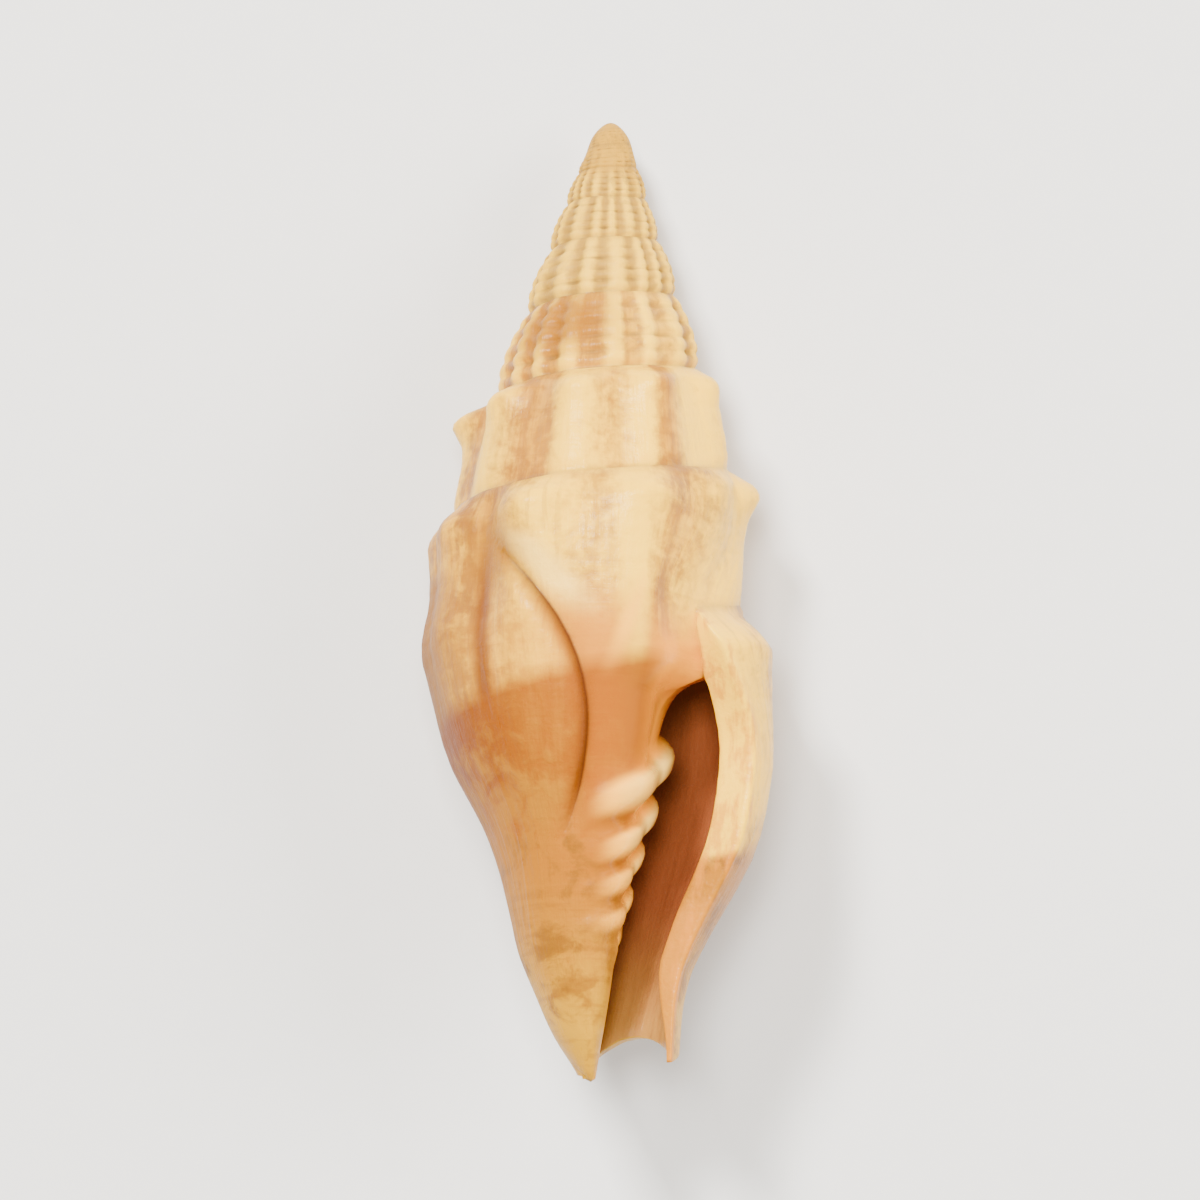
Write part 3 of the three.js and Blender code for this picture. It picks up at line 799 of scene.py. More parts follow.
@dataclass
class ShellSkin:
    """The closed skin of the whole shell: its outside, the inner wall, the lip and the base."""

    form: ShellForm = ShellForm()
    columns: int = 252
    whorl_rows: int = 28
    roof_rows: int = 4
    lower_rows: int = 60
    inner_rows: int = 34
    rim_rows: int = 7
    depth_turns: float = 0.65
    rim_round: float = 0.07
    lean: float = 12.5

    def lower_shares(self) -> np.ndarray:
        """Shares of the way from the roof to the base, closest together across the folds."""
        line = SmoothLine(((0, 0), (0.12, 0.16), (0.72, 0.6), (1, 1)))
        return line(np.linspace(0, 1, self.lower_rows + 1))

    def sheet(self, skin: Skin, turns: np.ndarray, along: np.ndarray) -> Sheet:
        """A grid on the shell's outside.

        Args:
            skin: the skin that gets the points.
            turns: the turn of each column.
            along: the distance down the axis, with columns on the first axis.

        Returns:
            The grid's corners and masks.
        """
        here = self.form.followed_turn(np.broadcast_to(turns[:, None], along.shape), along)
        points = self.form.coil.place(here, along, self.form.radius(here, along))
        return Sheet(skin.corners(points), self.form.masks(here, along, 0.0))

    def rim(self, skin: Skin, outer: Sheet, inner: np.ndarray, forward: np.ndarray) -> list[Sheet]:
        """Lines that carry a rounded edge from an outer line towards an inner one.

        With s the share of the way across, a line stands forward by the rounding times the
        sixth root of one minus the sixth power of 2s - 1.

        Args:
            skin: the skin that gets the points.
            outer: the outer line.
            inner: the places on the inner side that face the outer line's points.
            forward: the direction in which the edge stands out.

        Returns:
            The lines between the two, without the outer one.
        """
        start = skin.place_of(outer.ids)
        lines = []
        wide = np.clip(np.linalg.norm(inner - start, axis=-1, keepdims=True) / 0.5, 0, 1)
        for row in range(1, self.rim_rows):
            s = 0.5 - 0.5 * math.cos(math.pi * row / self.rim_rows)
            out = self.rim_round * (1 - abs(2 * s - 1) ** 6) ** (1 / 6)
            points = start + (inner - start) * s + forward * out * wide
            lines.append(Sheet(skin.corners(points), outer.masks))
        return lines

    def turns(self) -> np.ndarray:
        """The turn of each column, from one turn before the coil begins to the lip."""
        last = round(self.form.coil.spire_turns * self.columns)
        return (np.arange(-self.columns, last + 1) - last) / self.columns

    def column(self, turn: float) -> int:
        """The number of the column that stands at a turn."""
        return len(self.turns()) - 1 + round(turn * self.columns)

    def whorls(self, skin: Skin) -> Sheet:
        """The outside of all whorls, from suture to suture.

        Each whorl's upper edge is the lower edge of the one before it, and the first one starts
        in a single point.

        Args:
            skin: the skin that gets the points.

        Returns:
            The grid, with all columns.
        """
        coil, m, turns = self.form.coil, self.columns, self.turns()
        rows = np.linspace(0, 1, self.whorl_rows + 1)
        first = np.arange(len(turns)) < m
        top = np.where(first, coil.tip_along, coil.top_edge(turns))
        low = np.where(first, coil.top_edge(turns + 1), coil.suture(turns + 1))
        along = top[:, None] + (low - top)[:, None] * np.where(first[:, None], rows ** 1.8, rows)
        whorl = self.sheet(skin, turns, along)
        ids = whorl.ids.copy()
        ids[:m, 0] = ids[0, 0]
        ids[0, :] = ids[0, 0]
        ids[m:, 0] = ids[:-m, -1]
        return Sheet(ids, whorl.masks)

    def below_whorls(self, skin: Skin) -> Sheet:
        """The outside from the height of the aperture's roof down to the base.

        Args:
            skin: the skin that gets the points.

        Returns:
            The grid, from the closed end inside to the lip.
        """
        form, turns = self.form, self.turns()[self.column(-1 - self.depth_turns):]
        shares = self.lower_shares()
        roof_edge = (form.coil.suture(turns + 1) * form.roof_ratio)[:, None]
        along = roof_edge + (form.outlines.bottom(turns)[:, None] - roof_edge) * shares
        along = along + form.folds.drop(turns[:, None], shares)
        return self.sheet(skin, turns, along)

    def roof(self, skin: Skin) -> Sheet:
        """The rows between the last whorl and the height of the aperture's roof.

        Args:
            skin: the skin that gets the points.

        Returns:
            The grid, with the columns of the last turn.
        """
        turns = self.turns()[self.column(-1):]
        steps = np.arange(1, self.roof_rows) / self.roof_rows
        growing = 1 + (self.form.roof_ratio - 1) * steps
        return self.sheet(skin, turns, self.form.coil.suture(turns + 1)[:, None] * growing)

    def inner_wall(self, skin: Skin, lower: Sheet) -> Sheet:
        """The inside of the outer wall.

        Its upper edge is on the wall behind it, and so is its lower edge as far as the canal is
        closed.

        Args:
            skin: the skin that gets the points.
            lower: the outside below the whorls, which begins with the wall behind.

        Returns:
            The grid, from the closed end inside to the lip.
        """
        form, deep = self.form, self.column(-self.depth_turns)
        turns = self.turns()[deep:]
        shares = np.linspace(0, 1, self.inner_rows + 1)[1:]
        roof_edge = (form.coil.suture(turns) * form.roof_ratio)[:, None]
        height = form.outlines.bottom(turns)[:, None] - roof_edge
        along = roof_edge + height * 0.5 * (shares + shares ** 1.3)
        wide = np.broadcast_to(turns[:, None], along.shape)
        ids = skin.corners(form.coil.place(wide, along, form.inner_radius(wide, along)))
        behind = lower.part(slice(None, len(turns)))
        closed = self.column(form.closes_at) - deep + 1
        ids[:closed, -1] = behind.ids[:closed, -1]
        wall = Sheet(ids, form.masks(wide, along, 1.0))
        return joined([behind.part(slice(None), slice(0, 1)), wall], 1)

    def lip(self, skin: Skin, outside: Sheet, inner_line: Sheet) -> list[Sheet]:
        """The lip's rounded edge, from the suture to the foot.

        Args:
            skin: the skin that gets the points and the faces.
            outside: the outside of the last turn.
            inner_line: the edge's inner line.

        Returns:
            The lines along the edge.
        """
        outer_line = outside.part(-1)
        inner_shares, outer_shares = skin.shares(inner_line.ids), skin.shares(outer_line.ids)
        places = skin.place_of(inner_line.ids).T
        facing = np.stack([np.interp(outer_shares, inner_shares, p) for p in places], axis=-1)
        ahead = skin.place_of(outer_line.ids) - skin.place_of(outside.part(-3).ids)
        ahead = ahead / np.maximum(np.linalg.norm(ahead, axis=-1, keepdims=True), 1e-9)
        rails = self.rim(skin, outer_line.part(slice(1, None)), facing[1:], ahead[1:])
        rails = [joined([outer_line.part(slice(0, 1)), rail]) for rail in rails]
        skin.cover(stacked([outer_line, *rails]))
        skin.zip_up(rails[-1], inner_line)
        return rails

    def foot(self, skin: Skin, outer: Sheet, inner: Sheet, lip: Sequence[Sheet]) -> Sheet:
        """The bottom edge round the canal, which ends in the lip's edge.

        Args:
            skin: the skin that gets the points and the faces.
            outer: the edge's outer line.
            inner: its inner line.
            lip: the lines along the lip's edge.

        Returns:
            The edge's grid.
        """
        downwards = np.broadcast_to([0.0, -1.0, 0.0], (len(outer.ids), 3))
        rails = self.rim(skin, outer, skin.place_of(inner.ids), downwards)
        for rail, lip_rail in zip(rails, lip):
            rail.ids[-1] = lip_rail.ids[-1]
        foot = stacked([outer, *rails, inner], 1)
        skin.cover(foot)
        return foot

    def build(self) -> Skin:
        """Makes the skin.

        Returns:
            The skin, with its axis along Y and the apex up.
        """
        body, deep = self.column(-1), self.column(-self.depth_turns)
        start, closing = deep - self.columns, self.column(self.form.closes_at)
        skin = Skin()
        whorl, lower, roof = self.whorls(skin), self.below_whorls(skin), self.roof(skin)
        under = lower.part(slice(body - start, None))
        outside = joined([whorl.part(slice(body, None)), roof, under], 1)
        skin.cover(whorl.part(slice(None, body + 1)))
        skin.cover(lower.part(slice(None, body - start + 1)))
        skin.cover(outside)

        inner = self.inner_wall(skin, lower)
        skin.cover(inner.part(slice(None, None, -1)))
        suture_point = whorl.part(body, slice(-1, None))
        rails = self.lip(skin, outside, joined([suture_point, roof.part(0), inner.part(-1)]))
        foot_outer = lower.part(slice(closing - start, None), -1)
        foot = self.foot(skin, foot_outer, inner.part(slice(closing - deep, None), -1), rails)

        # The closed end deep inside, and the base's tip.
        skin.zip_up(inner.part(0), lower.part(0))
        tip_line = lower.part(slice(closing - deep, closing - start + 1), -1)
        loop = joined([tip_line, foot.part(0, slice(1, -1))])
        skin.fan(loop.turned(), (0.0, -self.form.coil.base_along - 0.1, 0.0))
        return skin

    def placed(self, skin: Skin, apex: np.ndarray) -> np.ndarray:
        """Leans the skin, moves it so that its tip meets the solid's, and wears the flat spot.

        Leaning turns y and z about X. Every point under the ground is lifted to it.

        Args:
            skin: the skin.
            apex: the solid's highest point along Y, in metres.

        Returns:
            The points' final places, in metres.
        """
        x, y, z = np.concatenate(skin.points).T
        a = math.radians(-self.lean)
        cos, sin = math.cos(a), math.sin(a)
        turned = np.stack([x, y * cos - z * sin, y * sin + z * cos], axis=-1)
        tip = -self.form.coil.tip_along * np.array([0.0, cos, sin])
        points = (turned - tip) * MM + apex
        points[:, 2] = np.maximum(points[:, 2], 0.0)
        return points


# Finishes

class Wire:
    """An output socket of a node tree, with arithmetic that adds Math nodes."""

    def __init__(self, bench: "Bench", socket: bpy.types.NodeSocket) -> None:
        """Holds the socket and the bench whose tree it is in."""
        self.bench = bench
        self.socket = socket

    def __add__(self, other: "Wire | float") -> "Wire":
        """self + other."""
        return self.bench.maths("ADD", self, other)

    def __radd__(self, other: float) -> "Wire":
        """other + self."""
        return self.bench.maths("ADD", other, self)

    def __sub__(self, other: "Wire | float") -> "Wire":
        """self - other."""
        return self.bench.maths("SUBTRACT", self, other)

    def __rsub__(self, other: float) -> "Wire":
        """other - self."""
        return self.bench.maths("SUBTRACT", other, self)

    def __mul__(self, other: "Wire | float") -> "Wire":
        """self * other."""
        return self.bench.maths("MULTIPLY", self, other)

    def __rmul__(self, other: float) -> "Wire":
        """other * self."""
        return self.bench.maths("MULTIPLY", other, self)

    def __pow__(self, other: "Wire | float") -> "Wire":
        """self to the power of other."""
        return self.bench.maths("POWER", self, other)

    def between(self, low: float, high: float) -> "Wire":
        """A smooth step of self from low to high, as a Map Range node."""
        return self.bench.node(
            "ShaderNodeMapRange", {"interpolation_type": "SMOOTHSTEP"},
            {"Value": self, "From Min": low, "From Max": high},
        )

    def held(self) -> "Wire":
        """self held to 0..1."""
        return self.bench.maths("MINIMUM", self.bench.maths("MAXIMUM", self, 0.0), 1.0)


class Bench:
    """The node tree of one material."""

    def __init__(self, name: str) -> None:
        """Makes an empty material.

        Args:
            name: the material's name.
        """
        self.material = bpy.data.materials.new(name)
        self.material.use_nodes = True
        self.tree = self.material.node_tree
        self.tree.nodes.clear()

    def node(self, kind: str, settings: Mapping[str, Any] | None = None,
             inputs: Mapping[str | int, Any] | None = None, output: str | int = 0) -> Wire:
        """Adds a node: its settings are made first, and then its sockets are set or linked.

        Args:
            kind: the node's type.
            settings: properties of the node.
            inputs: values or wires by socket name or number.
            output: the socket to give back.

        Returns:
            A wire from the output.
        """
        made = self.tree.nodes.new(kind)
        for key, value in (settings or {}).items():
            setattr(made, key, value)
        for key, value in (inputs or {}).items():
            socket = made.inputs[key]
            if isinstance(value, Wire):
                self.tree.links.new(value.socket, socket)
            elif isinstance(value, tuple) and len(value) == 3 and socket.type == "RGBA":
                socket.default_value = (*value, 1.0)
            else:
                socket.default_value = value
        return Wire(self, made.outputs[output] if made.outputs else None)

    def maths(self, operation: str, a: Wire | float, b: Wire | float) -> Wire:
        """A Math node on two values."""
        return self.node("ShaderNodeMath", {"operation": operation}, {0: a, 1: b})

    def mask(self, mask: Mask) -> Wire:
        """One of the skin's masks."""
        return self.node("ShaderNodeAttribute", {"attribute_name": mask.value}, output="Fac")

    def mixed(self, under: Wire | Colour, over: Wire | Colour, share: Wire | float) -> Wire:
        """One colour laid over another, where the share says how much of the upper one shows."""
        return self.node(
            "ShaderNodeMix", {"data_type": "RGBA", "clamp_factor": True},
            {0: share, 6: under, 7: over}, output=2,
        )

    def vector(self, x: Wire | float, y: Wire | float, z: Wire | float) -> Wire:
        """Three values as one vector."""
        return self.node("ShaderNodeCombineXYZ", inputs={0: x, 1: y, 2: z})

    def noise(self, vector: Wire, scale: float, detail: float = 3.0, rough: float = 0.55,
              warp: float = 0.0) -> Wire:
        """Cloudy noise from about 0 to 1.

        Args:
            vector: the coordinates.
            scale: waves to one unit of the coordinates.
            detail: how many finer layers there are.
            rough: how strong the finer layers are.
            warp: how far it is distorted.

        Returns:
            The noise.
        """
        return self.node(
            "ShaderNodeTexNoise", {"noise_dimensions": "3D"},
            {"Vector": vector, "Scale": scale, "Detail": detail, "Roughness": rough,
             "Distortion": warp},
        )


def linear(red: int, green: int, blue: int) -> Colour:
    """A screen colour as the light it stands for.

    Each channel's share of 255 is raised by the screen's curve: a straight part near black, and
    above it the power 2.4 of the share plus 0.055, over 1.055.

    Args:
        red: the red channel, 0 to 255.
        green: the green channel, 0 to 255.
        blue: the blue channel, 0 to 255.

    Returns:
        The linear colour.
    """
    shares = np.array([red, green, blue]) / 255.0
    low, high = shares / 12.92, ((shares + 0.055) / 1.055) ** 2.4
    r, g, b = np.where(shares <= 0.04045, low, high)
    return float(r), float(g), float(b)


@dataclass(frozen=True)
class Mark:
    """Where a mark lies: its middle and half width across, and its smooth ends down the shell.

    It sets in between the first pair of distances down the axis, and fades between the second.
    """

    middle: float
    half: float
    sets_in: tuple[float, float] | None = None
    fades: tuple[float, float] | None = None

    def across(self, value: Wire) -> Wire:
        """One round hump: smooth steps up to the middle and down past it."""
        up = value.between(self.middle - self.half, self.middle)
        return up * (1 - value.between(self.middle, self.middle + self.half))

    def strength(self, value: Wire, down: Wire) -> Wire:
        """The hump across, times the mark's smooth ends.

        Args:
            value: what runs across the mark, mostly the turn.
            down: what runs down the mark.

        Returns:
            How strong the mark is, from 0 to 1.
        """
        strong = self.across(value)
        if self.sets_in:
            strong = strong * down.between(*self.sets_in)
        if self.fades:
            strong = strong * (1 - down.between(*self.fades))
        return strong


@dataclass(frozen=True)
class Porcelain:
    """The shell's finish: cream ribs, tan hollows, a brown band, a dark brown inside, and painted
    light and shade.
    """

    name: str = "shell_porcelain"
    cream: Colour = linear(255, 197, 34)
    pale: Colour = linear(232, 163, 24)
    tan: Colour = linear(182, 120, 20)
    hollow: Colour = linear(136, 84, 26)
    spire_cream: Colour = linear(238, 184, 34)
    spire_tan: Colour = linear(170, 126, 36)
    tip: Colour = linear(190, 138, 22)
    groove: Colour = linear(104, 76, 36)
    golden: Colour = linear(150, 92, 0)
    streak: Colour = linear(116, 58, 14)
    band: Colour = linear(146, 76, 4)
    band_red: Colour = linear(112, 48, 0)
    base: Colour = linear(168, 108, 14)
    base_tip: Colour = linear(202, 150, 18)
    base_dull: Colour = linear(130, 80, 14)
    glaze: Colour = linear(166, 88, 2)
    # Painted light: a brighter glaze where the wall turns into the aperture's shade.
    painted_light_glaze: Colour = linear(255, 160, 16)
    callus: Colour = linear(204, 124, 26)
    fold: Colour = linear(255, 176, 44)
    # Painted highlight: pale tops on the folds, and a patch beside the crease.
    painted_highlight: Colour = linear(255, 206, 96)
    # Painted shade: the dark line down the crease.
    crease: Colour = linear(70, 30, 8)
    # Painted shade on the crease's left flank.
    flank: Colour = linear(150, 76, 8)
    inside: Colour = linear(136, 72, 38)
    inside_low: Colour = linear(166, 118, 52)
    inside_line: Colour = linear(112, 52, 26)
    lip_low: Colour = linear(188, 118, 24)

    left_flank: Mark = Mark(-0.57, 0.14, (15.0, 17.0))
    front_blush: Mark = Mark(-0.79, 0.13, (16.0, 18.0))
    wall_gap: Mark = Mark(-0.86, 0.03)
    # Painted highlight along the crease's right side.
    crease_highlight: Mark = Mark(-0.03, 0.035, (14.6, 15.4), (16.4, 17.8))
    # Painted highlight: cream on one spire whorl's right side.
    right_whorl_highlight: Mark = Mark(-2.9, 0.12)
    golden_patch: Mark = Mark(-2.73, 0.15, (-0.26, 0.36), (0.36, 0.98))
    golden_corner: Mark = Mark(-0.704, 0.05, (13.7, 15.6), (15.6, 17.5))
    dark_streak: Mark = Mark(-0.69, 0.018, (15.0, 17.5), (19.6, 20.8))
    red_end: Mark = Mark(-0.63, 0.14, None, (21.0, 24.5))
    # Painted highlight: a pale ray down the glazed wall.
    highlight_ray: Mark = Mark(-1.0737, 0.016, (15.6, 17.6), (17.6, 19.6))
    ray_slant: float = 0.0127
    # Where the painted highlights on the folds' tops lie across.
    fold_ends: Mark = Mark(-0.99, 0.2)
    pillar: Mark = Mark(-0.97, 0.1, (25.6, 26.8), (28.5, 30.2))
    ridge: Mark = Mark(-0.87, 0.07, (18.0, 19.0), (22.5, 24.0))

    def dress(self) -> bpy.types.Material:
        """Builds the finish: layers of colour, the relief of the surface, and the shine.

        The inside glows faintly with its own colour, as painted light that lifts its shade.

        Returns:
            The material.
        """
        bench = Bench(self.name)
        layers = Layers(bench, self)
        surface = bench.node("ShaderNodeBsdfPrincipled", inputs={
            "Base Color": layers.colour(), "Roughness": layers.dullness(),
            "Normal": layers.relief(), "Coat Weight": layers.gloss(), "Coat Roughness": 0.1,
            "IOR": 1.5, "Specular IOR Level": 0.22, "Subsurface Weight": 0.1,
            "Subsurface Radius": (1.0, 0.5, 0.2), "Subsurface Scale": 0.0006,
            # Painted light: the inside glows faintly with its own colour.
            "Emission Color": bench.mixed((0.0, 0.0, 0.0), self.inside, layers.mask[Mask.INSIDE]),
            "Emission Strength": 0.14,
        })
        bench.node("ShaderNodeOutputMaterial", inputs={"Surface": surface})
        return bench.material


class Layers:
    """The finish on one material: each layer's share is a mask of the form broken up by noise.

    Cloud, mottle, speck and grain are noises of the place, from coarse to fine. Growth and fine
    growth run along the growth lines, and spiral runs round the shell.
    """

    def __init__(self, bench: Bench, look: Porcelain) -> None:
        """Adds the masks and the noises.

        Args:
            bench: the node tree that gets them.
            look: the finish, with its colours and marks.
        """
        self.bench, self.look = bench, look
        self.tone: Wire | Colour = look.hollow
        self.mask = {mask: bench.mask(mask) for mask in Mask}
        turn, down = self.mask[Mask.TURN], self.mask[Mask.DOWN]
        self.turn, self.down = turn, down
        self.here = bench.node("ShaderNodeTexCoord", output="Object")
        self.cloud = bench.noise(self.here, 330.0, 4.0, 0.6)
        self.mottle = bench.noise(self.here, 1500.0, 4.0, 0.6, 0.4)
        self.speck = bench.noise(self.here, 3600.0, 3.0, 0.6)
        self.grain = bench.noise(self.here, 5200.0, 3.0, 0.6)
        self.growth = bench.noise(bench.vector(turn * 46.0, down * 0.22, 0.0), 1.0, 4.0, 0.65)
        self.fine_growth = bench.noise(bench.vector(turn * 150.0, down * 0.5, 3.0), 1.0, 3.0, 0.6)
        self.spiral = bench.noise(bench.vector(turn * 5.0, down * 4.2, 7.0), 1.0, 3.0, 0.55)

    def marked(self, mark: Mark) -> Wire:
        """The strength of a mark that lies by turn and distance down."""
        return mark.strength(self.turn, self.down)

    def lay(self, colour: Wire | Colour, share: Wire) -> None:
        """Lays a colour on what is there so far."""
        self.tone = self.bench.mixed(self.tone, colour, share)

    def colour(self) -> Wire:
        """Lays every layer, from the whorls up to the dark lines.

        Returns:
            The colour.
        """
        for layer in (self.whorls, self.walls, self.spire, self.golden_marks, self.base_and_band,
                      self.beside_aperture, self.lip_and_inside, self.dark_lines):
            layer()
        return self.tone

    def whorls(self) -> None:
        """Lays tan hollows and cream ribs, streaked along the growth lines."""
        look, rib, growth, mottle = self.look, self.mask[Mask.RIB], self.growth, self.mottle - 0.5
        self.lay(look.tan, (self.cloud.between(0.35, 0.62) * 0.6 + 0.3).held())
        self.lay(look.pale, (growth + mottle * 0.8).between(0.42, 0.68) * 0.5)
        crest = rib * 1.1 + mottle * 0.7 + (growth - 0.5) * 0.5 + (self.speck - 0.5) * 0.5
        self.lay(look.cream, crest.between(0.3, 1.05) * 0.95)
        self.lay(look.hollow, self.spiral.between(0.52, 0.72) * (1 - rib) * 0.35)
        lines = self.fine_growth.between(0.5, 0.68) * self.turn.between(-0.8, -0.76)
        self.lay(look.hollow, lines * (1 - self.down.between(21.0, 22.5)) * 0.28)

    def walls(self) -> None:
        """Dulls the left flank, lays the blush on both sides of the crease, and paints a highlight
        on its right side.

        The painted highlight follows the crease's parabola, which is taken from the turn.
        """
        look, crease, growth, mottle = self.look, Crease(), self.growth, self.mottle
        left, front = self.marked(look.left_flank), self.marked(look.front_blush)
        self.lay(look.hollow, (left * (0.5 + growth)).held() * 0.95)
        self.lay(look.callus, (front * (0.5 + growth)).held() * 0.56)
        wall = self.mask[Mask.GLAZE] * (1 - look.wall_gap.across(self.turn))
        self.lay(look.callus, (wall * (0.5 + mottle)).held() * 0.85)
        past = self.turn - (self.down - crease.middle) ** 2.0 * crease.curve - crease.turn
        # Painted highlight along the crease's right side, broken up by noise.
        painted_glint = look.crease_highlight.strength(past, self.down) * (0.4 + mottle + 0.5 * growth)
        self.lay(look.painted_highlight, painted_glint.held() * 0.7)

    def spire(self) -> None:
        """Lays the yellower spire, with grey-brown pits between its beads, a tan tip and a painted
        highlight on one whorl's right side.
        """
        look, mixed = self.look, self.bench.mixed
        down, mottle, speck = self.down, self.mottle, self.speck
        beads = self.mask[Mask.RIB] * 0.8 + (mottle - 0.5) * 1.2 + (speck - 0.5) * 0.5
        early = mixed(look.spire_tan, look.spire_cream, beads.between(0.0, 0.85))
        # Painted highlight: cream on the whorl's right side, broken up by mottle.
        right = look.right_whorl_highlight.across(self.turn) * mottle.between(0.3, 0.55)
        early = mixed(early, look.cream, right)
        early = mixed(early, look.tip, 1 - down.between(2.6, 3.6))
        stain = (speck * 0.6 + mottle * 0.4).between(0.48, 0.64) * (1 - down.between(3.5, 6.0))
        early = mixed(early, look.groove, stain * 0.4)
        self.lay(early, self.mask[Mask.SPIRE])
        pits = self.mask[Mask.PIT].between(0.25, 0.95) * (0.3 + 0.7 * mottle.between(0.38, 0.6))
        self.lay(look.groove, pits * 0.72)

    def golden_marks(self) -> None:
        """Lays the golden patch of the third whorl, the golden corner and its dark streak."""
        look = self.look
        patch = look.golden_patch.strength(self.turn, self.mask[Mask.SHARE])
        self.lay(look.golden, (patch * (0.9 + self.mottle)).held() * 0.9)
        corner = self.marked(look.golden_corner) * (0.7 + self.mottle)
        self.lay(look.golden, corner.held() * 0.85)
        streak = self.marked(look.dark_streak) * (0.6 + self.growth)
        self.lay(look.streak, streak.held() * 0.85)

    def base_and_band(self) -> None:
        """Lays the mottled base, and above it the brown band with its red left end."""
        look, mixed = self.look, self.bench.mixed
        down, cloud, mottle, growth = self.down, self.cloud, self.mottle, self.growth
        low = mixed(look.base, look.base_tip, (down + (mottle - 0.5) * 3.0).between(26.0, 30.0))
        low = mixed(low, look.base_dull, (mottle + cloud - 0.5).between(0.46, 0.74) * 0.7)
        low = mixed(low, look.base_dull, self.spiral.between(0.5, 0.7) * 0.35)
        self.lay(low, down.between(22.5, 25.5))
        red = self.marked(look.red_end) * 0.75 + (cloud - 0.5) * 0.6
        warm = mixed(look.band, look.band_red, red.held())
        gold = (mottle + growth * 0.4 + down * 0.12 - 2.75).between(0.45, 0.85)
        warm = mixed(warm, look.base, gold * 0.75)
        ragged = (self.mask[Mask.BAND] * (0.7 + 0.6 * growth)).held()
        self.lay(warm, ragged * 0.92)

    def beside_aperture(self) -> None:
        """Lays the glazed wall with a painted highlight ray and painted light where it turns in,
        the stained base, the folds with painted highlights on their tops, and the pillar.
        """
        look, turn, down = self.look, self.turn, self.down
        glazed, folds = self.mask[Mask.GLAZE], self.mask[Mask.FOLD]
        self.lay(look.glaze, glazed * down.between(18.6, 20.2) * 0.6)
        # Painted highlight: the pale ray down the glazed wall.
        self.lay(look.fold, look.highlight_ray.strength(turn - down * look.ray_slant, down) * 0.8)
        # Painted light: a brighter glaze where the wall turns into the aperture's shade.
        painted_light_inward = (1 - turn.between(-0.93, -0.872)) * down.between(17.4, 18.6)
        painted_light_inward = painted_light_inward * (1 - self.mask[Mask.INSIDE]) * glazed
        self.lay(look.painted_light_glaze, painted_light_inward * 0.85)
        stain = self.bench.noise(self.here, 800.0, 4.0, 0.65, 0.6).between(0.48, 0.66)
        stain = stain * down.between(22.5, 24.5) * (0.35 + 0.65 * turn.between(-0.86, -0.76))
        self.lay(look.base_dull, stain * 0.85)
        self.lay(look.fold, folds.between(0.1, 0.7) * 0.95)
        # Painted highlights on the folds' tops.
        self.lay(look.painted_highlight, folds.between(0.5, 1.0) * look.fold_ends.across(turn) * 0.9)
        self.lay(look.fold, self.marked(look.pillar) * 0.85)

    def lip_and_inside(self) -> None:
        """Lays the lip's pale edge, its lower part and its strokes, and the dark inside."""
        look, bench, down = self.look, self.bench, self.down
        edge = self.turn.between(-0.016, -0.004)
        above = 1 - down.between(24.2, 24.6)
        self.lay(look.cream, (edge * above * (0.7 + 0.5 * self.spiral)).held())
        self.lay(look.lip_low, edge * down.between(25.4, 26.2) * 0.9)
        stretched = bench.node(
            "ShaderNodeMapping", inputs={"Vector": self.here, "Scale": (1.0, 0.14, 1.0)},
        )
        strokes = bench.noise(stretched, 2400.0, 4.0, 0.6) * 0.7 + self.mottle * 0.3
        self.lay(look.callus, edge * strokes.between(0.46, 0.6) * 0.62)
        deep = (down + (self.cloud - 0.5) * 2.0).between(25.0, 30.5)
        dark = bench.mixed(look.inside, look.inside_low, deep)
        dark = bench.mixed(dark, look.inside_line, self.growth.between(0.5, 0.8) * 0.5)
        self.lay(dark, self.mask[Mask.INSIDE])

    def dark_lines(self) -> None:
        """Paints shade as a dark line in the crease and on its flank, and draws the sutures."""
        look, mask = self.look, self.mask
        # Painted shade on the crease's left flank.
        self.lay(look.flank, mask[Mask.FLANK_SHADE] * 0.8)
        # Painted shade: the dark line down the crease.
        self.lay(look.crease, mask[Mask.CREASE] * 0.92)
        self.lay(look.groove, mask[Mask.SUTURE] * (0.35 + 0.5 * self.mottle) * 0.6)

    def dullness(self) -> Wire:
        """Sets how dull it is: more on the spire, in pits, on the left flank and along the ridge.

        Returns:
            The roughness.
        """
        mask = self.mask
        dull = 0.34 + 0.16 * mask[Mask.SPIRE] + (self.mottle - 0.5) * 0.2 - 0.1 * mask[Mask.GLAZE]
        dull = dull + 0.3 * mask[Mask.CREASE] + 0.3 * self.marked(self.look.ridge)
        dull = dull + 0.35 * mask[Mask.PIT] + 0.2 * self.marked(self.look.left_flank)
        return dull.held()

    def relief(self) -> Wire:
        """Raises fine growth lines, spiral lines and grain, under a tenth of a millimetre high.

        Returns:
            The bump's normals.
        """
        rough = (1 - 0.8 * self.mask[Mask.GLAZE]).held()
        height = self.fine_growth * 0.5 * rough + self.spiral * 0.3
        height = height + self.grain * 0.25 * rough + self.mottle * 0.8 * rough
        return self.bench.node(
            "ShaderNodeBump", inputs={"Strength": 0.7, "Distance": 0.00008, "Height": height},
        )

    def gloss(self) -> Wire:
        """Puts a clear coat on the glaze, but not on its ridge, and on the folds.

        Returns:
            The coat's weight.
        """
        coat = 0.25 * self.mask[Mask.GLAZE] * (1 - self.marked(self.look.ridge))
        coat = coat + 0.4 * self.mask[Mask.FOLD]
        return (coat * (1 - 0.8 * self.mask[Mask.INSIDE])).held()


# The object and its stage

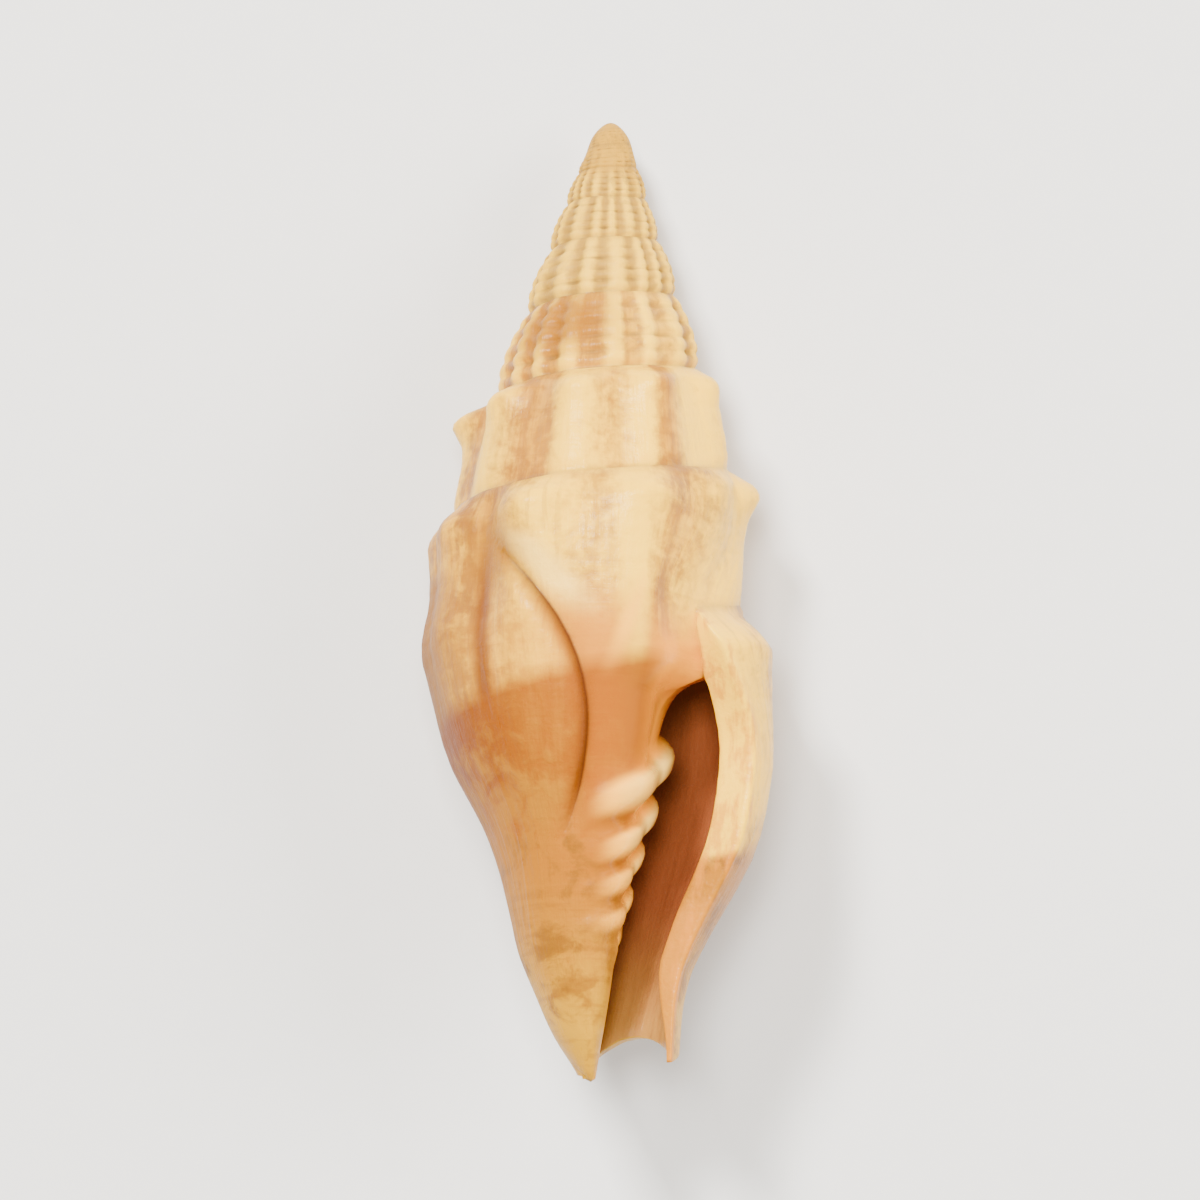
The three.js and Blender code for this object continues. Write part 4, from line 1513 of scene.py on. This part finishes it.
def apex_of(thing: bpy.types.Object) -> np.ndarray:
    """The mesh corner that lies furthest along Y.

    Args:
        thing: the object that has the mesh.

    Returns:
        The corner's place.
    """
    corners = np.empty(len(thing.data.vertices) * 3, np.float32)
    thing.data.vertices.foreach_get("co", corners)
    corners = corners.reshape(-1, 3)
    return corners[np.argmax(corners[:, 1])].astype(float)


@dataclass
class MitreShell:
    """The shell: its skin, put where the solid is, and its finish."""

    solid: bpy.types.Object
    skin: ShellSkin
    finish: Porcelain

    def make(self) -> bpy.types.Object:
        """Builds the piece and sets it in the place of the solid.

        Returns:
            The piece.
        """
        skin = self.skin.build()
        placed = self.skin.placed(skin, apex_of(self.solid))
        made = bpy.data.objects.new("shell_skin", skin.to_mesh("shell_skin", placed))
        bpy.context.scene.collection.objects.link(made)
        made.data.materials.append(self.finish.dress())
        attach(made, "root")
        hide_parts("shell")
        log.info("%s: %d faces", made.name, len(made.data.polygons))
        return made


@dataclass
class Studio:
    """A plain pale floor, soft light from the upper left, and the camera."""

    apex: Vector
    floor_colour: Colour = linear(226, 224, 220)
    floor_grain: Colour = linear(218, 216, 212)
    floor_half: float = 1.5
    lamp_colour: Colour = (1.0, 0.985, 0.96)
    world_colour: Colour = (1.0, 0.95, 0.88)
    world_strength: float = 0.26
    middle_height: float = 0.004
    distance: float = 0.6
    frame_width: float = 0.03725
    sensor_width: float = 36.0
    tilt: float = 2.5
    roll: float = 1.2
    apex_right: float = 0.00034
    apex_up: float = 0.01481

    def make_floor(self) -> bpy.types.Object:
        """Lays the floor just under the shell.

        Returns:
            The floor.
        """
        half = self.floor_half
        corners = [(-half, -half, 0), (half, -half, 0), (half, half, 0), (-half, half, 0)]
        mesh = bpy.data.meshes.new("floor")
        mesh.from_pydata(corners, [], [(0, 1, 2, 3)])
        floor = bpy.data.objects.new("floor", mesh)
        bpy.context.scene.collection.objects.link(floor)
        bench = Bench("floor_paper")
        here = bench.node("ShaderNodeTexCoord", output="Object")
        grain = bench.noise(here, 900.0, 3.0)
        tone = bench.mixed(self.floor_colour, self.floor_grain, grain * 0.5)
        surface = bench.node(
            "ShaderNodeBsdfPrincipled", inputs={"Base Color": tone, "Roughness": 0.9},
        )
        bench.node("ShaderNodeOutputMaterial", inputs={"Surface": surface})
        mesh.materials.append(bench.material)
        log.info("%s laid", floor.name)
        return floor

    def lamp(self, name: str, place: Place, size: float, power: float, mirrored: bool) -> None:
        """Hangs one soft square lamp that faces the shell.

        Args:
            name: the lamp's name.
            place: where it hangs, in metres.
            size: the length of its side.
            power: its power in watts.
            mirrored: whether glossy surfaces mirror it.
        """
        data = bpy.data.lights.new(name, "AREA")
        data.shape, data.size, data.energy, data.color = "SQUARE", size, power, self.lamp_colour
        made = bpy.data.objects.new(name, data)
        made.location = place
        made.visible_glossy = mirrored
        towards = Vector((0, 0, self.middle_height)) - Vector(place)
        made.rotation_euler = towards.to_track_quat("-Z", "Y").to_euler()
        bpy.context.scene.collection.objects.link(made)
        log.info("%s hung", name)

    def make_light(self) -> None:
        """Hangs the lamps and sets an even pale surround."""
        self.lamp("key_lamp", (-0.19, 0.34, 0.52), 0.11, 10.0, True)
        self.lamp("fill_lamp", (0.36, 0.12, 0.3), 0.3, 3.6, False)
        self.lamp("overhead_lamp", (-0.05, 0.16, 0.8), 0.18, 9.4, False)
        world = bpy.data.worlds.new("studio")
        world.use_nodes = True
        background = world.node_tree.nodes["Background"]
        background.inputs["Color"].default_value = (*self.world_colour, 1.0)
        background.inputs["Strength"].default_value = self.world_strength
        bpy.context.scene.world = world

    def make_camera(self) -> bpy.types.Object:
        """Sets the camera up: it looks almost straight down, with the apex at the top.

        Its centre line passes the apex as far down and left as the picture shows.

        Returns:
            The camera.
        """
        tilt, roll = math.radians(self.tilt), math.radians(self.roll)
        back = Vector((0.0, math.sin(tilt), math.cos(tilt)))
        up = Vector((-math.sin(roll), math.cos(roll), 0.0))
        up = (up - up.dot(back) * back).normalized()
        right = up.cross(back)
        target = self.apex - right * self.apex_right - up * self.apex_up
        data = bpy.data.cameras.new("camera")
        data.type = "PERSP"
        data.sensor_width = self.sensor_width
        data.lens = self.sensor_width * self.distance / self.frame_width
        data.clip_start, data.clip_end = 0.01, 10.0
        camera = bpy.data.objects.new("camera", data)
        turned = Matrix((right, up, back)).transposed().to_4x4()
        camera.matrix_world = Matrix.Translation(target + back * self.distance) @ turned
        bpy.context.scene.collection.objects.link(camera)
        bpy.context.scene.camera = camera
        log.info("camera set, lens %.0f mm", data.lens)
        return camera


def main() -> None:
    """Builds the shell, the stage, the light and the camera in order."""
    logging.basicConfig(level=logging.INFO, format="%(name)s: %(message)s")
    shell = MitreShell(frame["nodes"]["shell"], ShellSkin(), Porcelain())
    made = shell.make()
    studio = Studio(Vector(apex_of(made)))
    studio.make_floor()
    studio.make_light()
    studio.make_camera()


if __name__ == "__main__":
    main()
